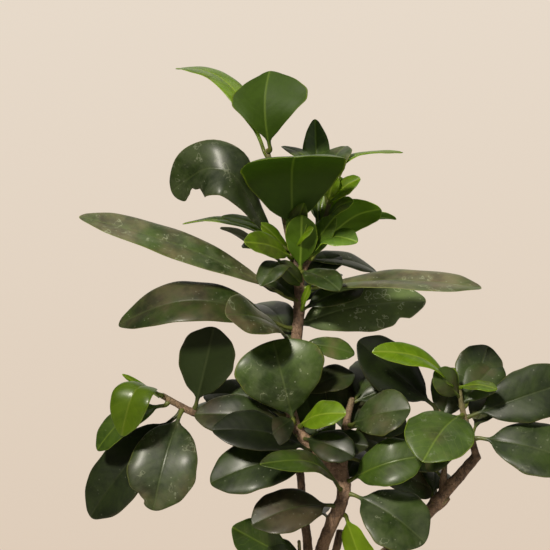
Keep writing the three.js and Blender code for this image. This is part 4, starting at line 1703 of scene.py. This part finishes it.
@dataclass
class Soil:
    """The potting soil: an uneven body and loose grains on top of it."""

    node: str = "soil"
    grains: int = 3200
    voxel: float = 1.1 * MM
    crumbly_depth: float = 6 * MM
    crumble: float = 0.7 * MM
    crumb_scale: float = 190.0
    sink: float = 0.3 * MM
    seed: int = 5

    PALETTE = (
        (0.050, 0.030, 0.018),
        (0.085, 0.052, 0.030),
        (0.028, 0.019, 0.013),
        (0.140, 0.095, 0.055),
        (0.480, 0.450, 0.400),
    )
    SHARES = (0.36, 0.25, 0.25, 0.1, 0.04)

    def build(self, effects: SharedEffects) -> None:
        """Builds the body and the grains and hands them over.

        Args:
            effects: the shared node groups.
        """
        co, triangles = corners(self.node)
        body = new_piece("packed_soil", co, triangles)
        add_remesh(body, self.voxel)
        settle(body)
        level = float(co[:, 2].max())
        for vertex in body.data.vertices:
            if vertex.co.z > level - self.crumbly_depth:
                lift = noise.fractal(vertex.co * self.crumb_scale, 0.8, 2.0, 4)
                vertex.co.z += self.crumble * lift - self.sink
        finish = EarthFinish("packed_soil", (0.02, 0.013, 0.009), (0.055, 0.035, 0.022), False)
        body.data.materials.append(finish.build(effects))
        hand_over(body, "soil", self.node)
        self._scatter(body, effects)

    def _scatter(self, body: bpy.types.Object, effects: SharedEffects) -> None:
        """Lays loose grains and bark chips on the soil.

        Args:
            body: the packed soil.
            effects: the shared node groups.
        """
        draw = np.random.default_rng(self.seed)
        tree = BVHTree.FromObject(body, bpy.context.evaluated_depsgraph_get())
        _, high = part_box(self.node)
        reach = high.x - 1.2 * MM
        seed = bmesh.new()
        bmesh.ops.create_icosphere(seed, subdivisions=1, radius=1.0)
        ball = np.array([v.co for v in seed.verts])
        ball_faces = np.array([[v.index for v in f.verts] for f in seed.faces])
        seed.free()
        points, faces, colours = [], [], []
        for _ in range(self.grains):
            turn, far = draw.uniform(0, 2 * np.pi), reach * math.sqrt(draw.uniform(0.02, 1))
            place = Vector((far * math.cos(turn), far * math.sin(turn), high.z + 0.02))
            spot, normal, _, _ = tree.ray_cast(place, Vector((0, 0, -1)))
            if spot is None or spot.z < high.z - 5 * MM or normal.z < 0.5:
                continue
            size = draw.choice([0.6, 0.9, 1.3, 2.0], p=[0.4, 0.33, 0.2, 0.07]) * MM
            stretch = draw.uniform([0.8, 0.6, 0.35], [1.8, 1.1, 0.75])
            grain = ball * stretch * draw.uniform(0.8, 1.2, (len(ball), 3))
            spin = np.array(Vector((0, 0, 1)).rotation_difference(normal).to_matrix())
            yaw = np.array(Matrix.Rotation(draw.uniform(0, 2 * np.pi), 3, "Z"))
            grain = grain @ yaw.T @ spin.T * size + np.array(spot)
            faces.append(ball_faces + len(points) * len(ball))
            points.append(grain)
            tint = np.array(self.PALETTE[draw.choice(len(self.PALETTE), p=self.SHARES)])
            colours.append(np.tile(tint * draw.uniform(0.7, 1.3), (len(ball), 1)))
        piece = new_piece("soil_grains", np.concatenate(points), np.concatenate(faces), smooth=False)
        store(piece.data, "grain_colour", np.concatenate(colours))
        finish = EarthFinish("soil_grains", (0.03, 0.02, 0.013), (0.09, 0.06, 0.04), True)
        piece.data.materials.append(finish.build(effects))
        hand_over(piece, "soil")


# ------------------------------------------------------------------------------ stage


@dataclass
class Studio:
    """Floor, room, lights and camera.

    Target is the place that the camera looks at, and lit_height the height that the lights aim at,
    both from the crown point. The room changes from low to high colour between the horizon's rises.
    """

    crown: Vector
    target: Vec3 = (-18 * MM, 0.0, 151.75 * MM)
    distance: float = 0.8
    elevation: float = 2.0
    view_width: float = 247.5 * MM
    floor_radius: float = 0.68
    gap: float = 0.2 * MM
    room_high: Colour = (0.80, 0.70, 0.59)
    room_low: Colour = (0.735, 0.61, 0.49)
    room_light: Colour = (0.12, 0.105, 0.085)
    horizon: tuple[float, float] = (-0.19, 0.12)
    lit_height: float = 120 * MM

    def build(self, effects: SharedEffects) -> None:
        """Builds the stage.

        Args:
            effects: the shared node groups.
        """
        self._floor(effects)
        self._room()
        self._lights()
        self._camera()
        bpy.context.scene.view_settings.view_transform = "Standard"
        bpy.context.scene.view_settings.look = "None"
        log.info("studio: ready")

    def _floor(self, effects: SharedEffects) -> None:
        """Lays a round pale table top with a softened edge.

        Args:
            effects: the shared node groups.
        """
        turn = np.linspace(0, 2 * np.pi, 128, endpoint=False)
        line = np.array([(0.1, 0), (0.3, 0), (1, 0), (1, -0.001), (1.003, -0.004), (1, -0.02)])
        line = line * np.array([self.floor_radius, 1.0])
        points = [(r * math.cos(t), r * math.sin(t), z - self.gap) for r, z in line for t in turn]
        grid, faces = tube_faces(len(line), len(turn))
        floor = new_piece("table_top", np.array(points), [*faces[:, ::-1], grid[0]])
        floor.data.set_sharp_from_angle(angle=math.radians(30))
        floor.data.materials.append(PaperFinish().build(effects))

    def _room(self) -> None:
        """Sets a pale room all round, whose light on the plant is dimmer than the room looks."""
        world = bpy.data.worlds.new("room")
        world.use_nodes = True
        world.node_tree.nodes.clear()
        graph = Graph(world.node_tree)
        _, _, rise = graph.parts(graph.node("TexCoord").outputs["Generated"])
        share = graph.step(rise, *self.horizon, soft=False)
        seen = graph.mix(share, self.room_low, self.room_high)
        looked_at = graph.node("LightPath").outputs["Is Camera Ray"]
        colour = graph.mix(looked_at, self.room_light, seen)
        shell = graph.node("Background", {"Color": colour, "Strength": 1.0})
        graph.node("OutputWorld", {"Surface": shell.outputs[0]})
        bpy.context.scene.world = world

    def _lights(self) -> None:
        """Places a soft key in front, a low fill, a broad light behind and one above."""
        focus = self.crown + Vector((0, 0, self.lit_height))
        for name, place, size, power, colour in (
            ("key", (-0.5, -0.95, 0.85), 0.18, 33.0, (1.0, 0.93, 0.82)),
            ("fill", (1.0, -0.8, 0.25), 1.1, 3.5, (1.0, 0.96, 0.9)),
            ("back", (0.1, 1.3, 0.35), 1.8, 9.0, (1.0, 0.95, 0.88)),
            ("top", (0.1, 0.2, 1.2), 0.8, 4.0, (1.0, 0.95, 0.88)),
        ):
            data = bpy.data.lights.new(name, "AREA")
            data.shape, data.size, data.energy, data.color = "SQUARE", size, power, colour
            lamp = placed(name, data)
            lamp.location = focus + Vector(place)
            face_along(lamp, focus - lamp.location)

    def _camera(self) -> None:
        """Places a long lens a little above the middle of the leaves."""
        data = bpy.data.cameras.new("camera")
        camera = placed("camera", data)
        data.sensor_width = 36.0
        data.lens = data.sensor_width * self.distance / self.view_width
        tilt = math.radians(self.elevation)
        ahead = Vector((0, math.cos(tilt), -math.sin(tilt)))
        target = self.crown + Vector(self.target)
        camera.location = target - ahead * self.distance
        face_along(camera, ahead)
        data.clip_start, data.clip_end = 0.01, 20.0
        bpy.context.scene.camera = camera


def main() -> None:
    """Builds the bonsai around its frame, then the stage."""
    logging.basicConfig(level=logging.INFO, format="%(name)s %(message)s")
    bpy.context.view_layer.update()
    _, stock_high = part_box("root_stock")
    crown = Vector((0, 0, stock_high.z - STOCK_DOME))
    effects = SharedEffects()
    wood = Wood()
    wood.survey()
    foliage = Foliage(wood, crown)
    foliage.plan()
    foliage.build(effects)
    wood.build(effects)
    Pot().build(effects)
    Soil().build(effects)
    Studio(crown).build(effects)


if __name__ == "__main__":
    main()
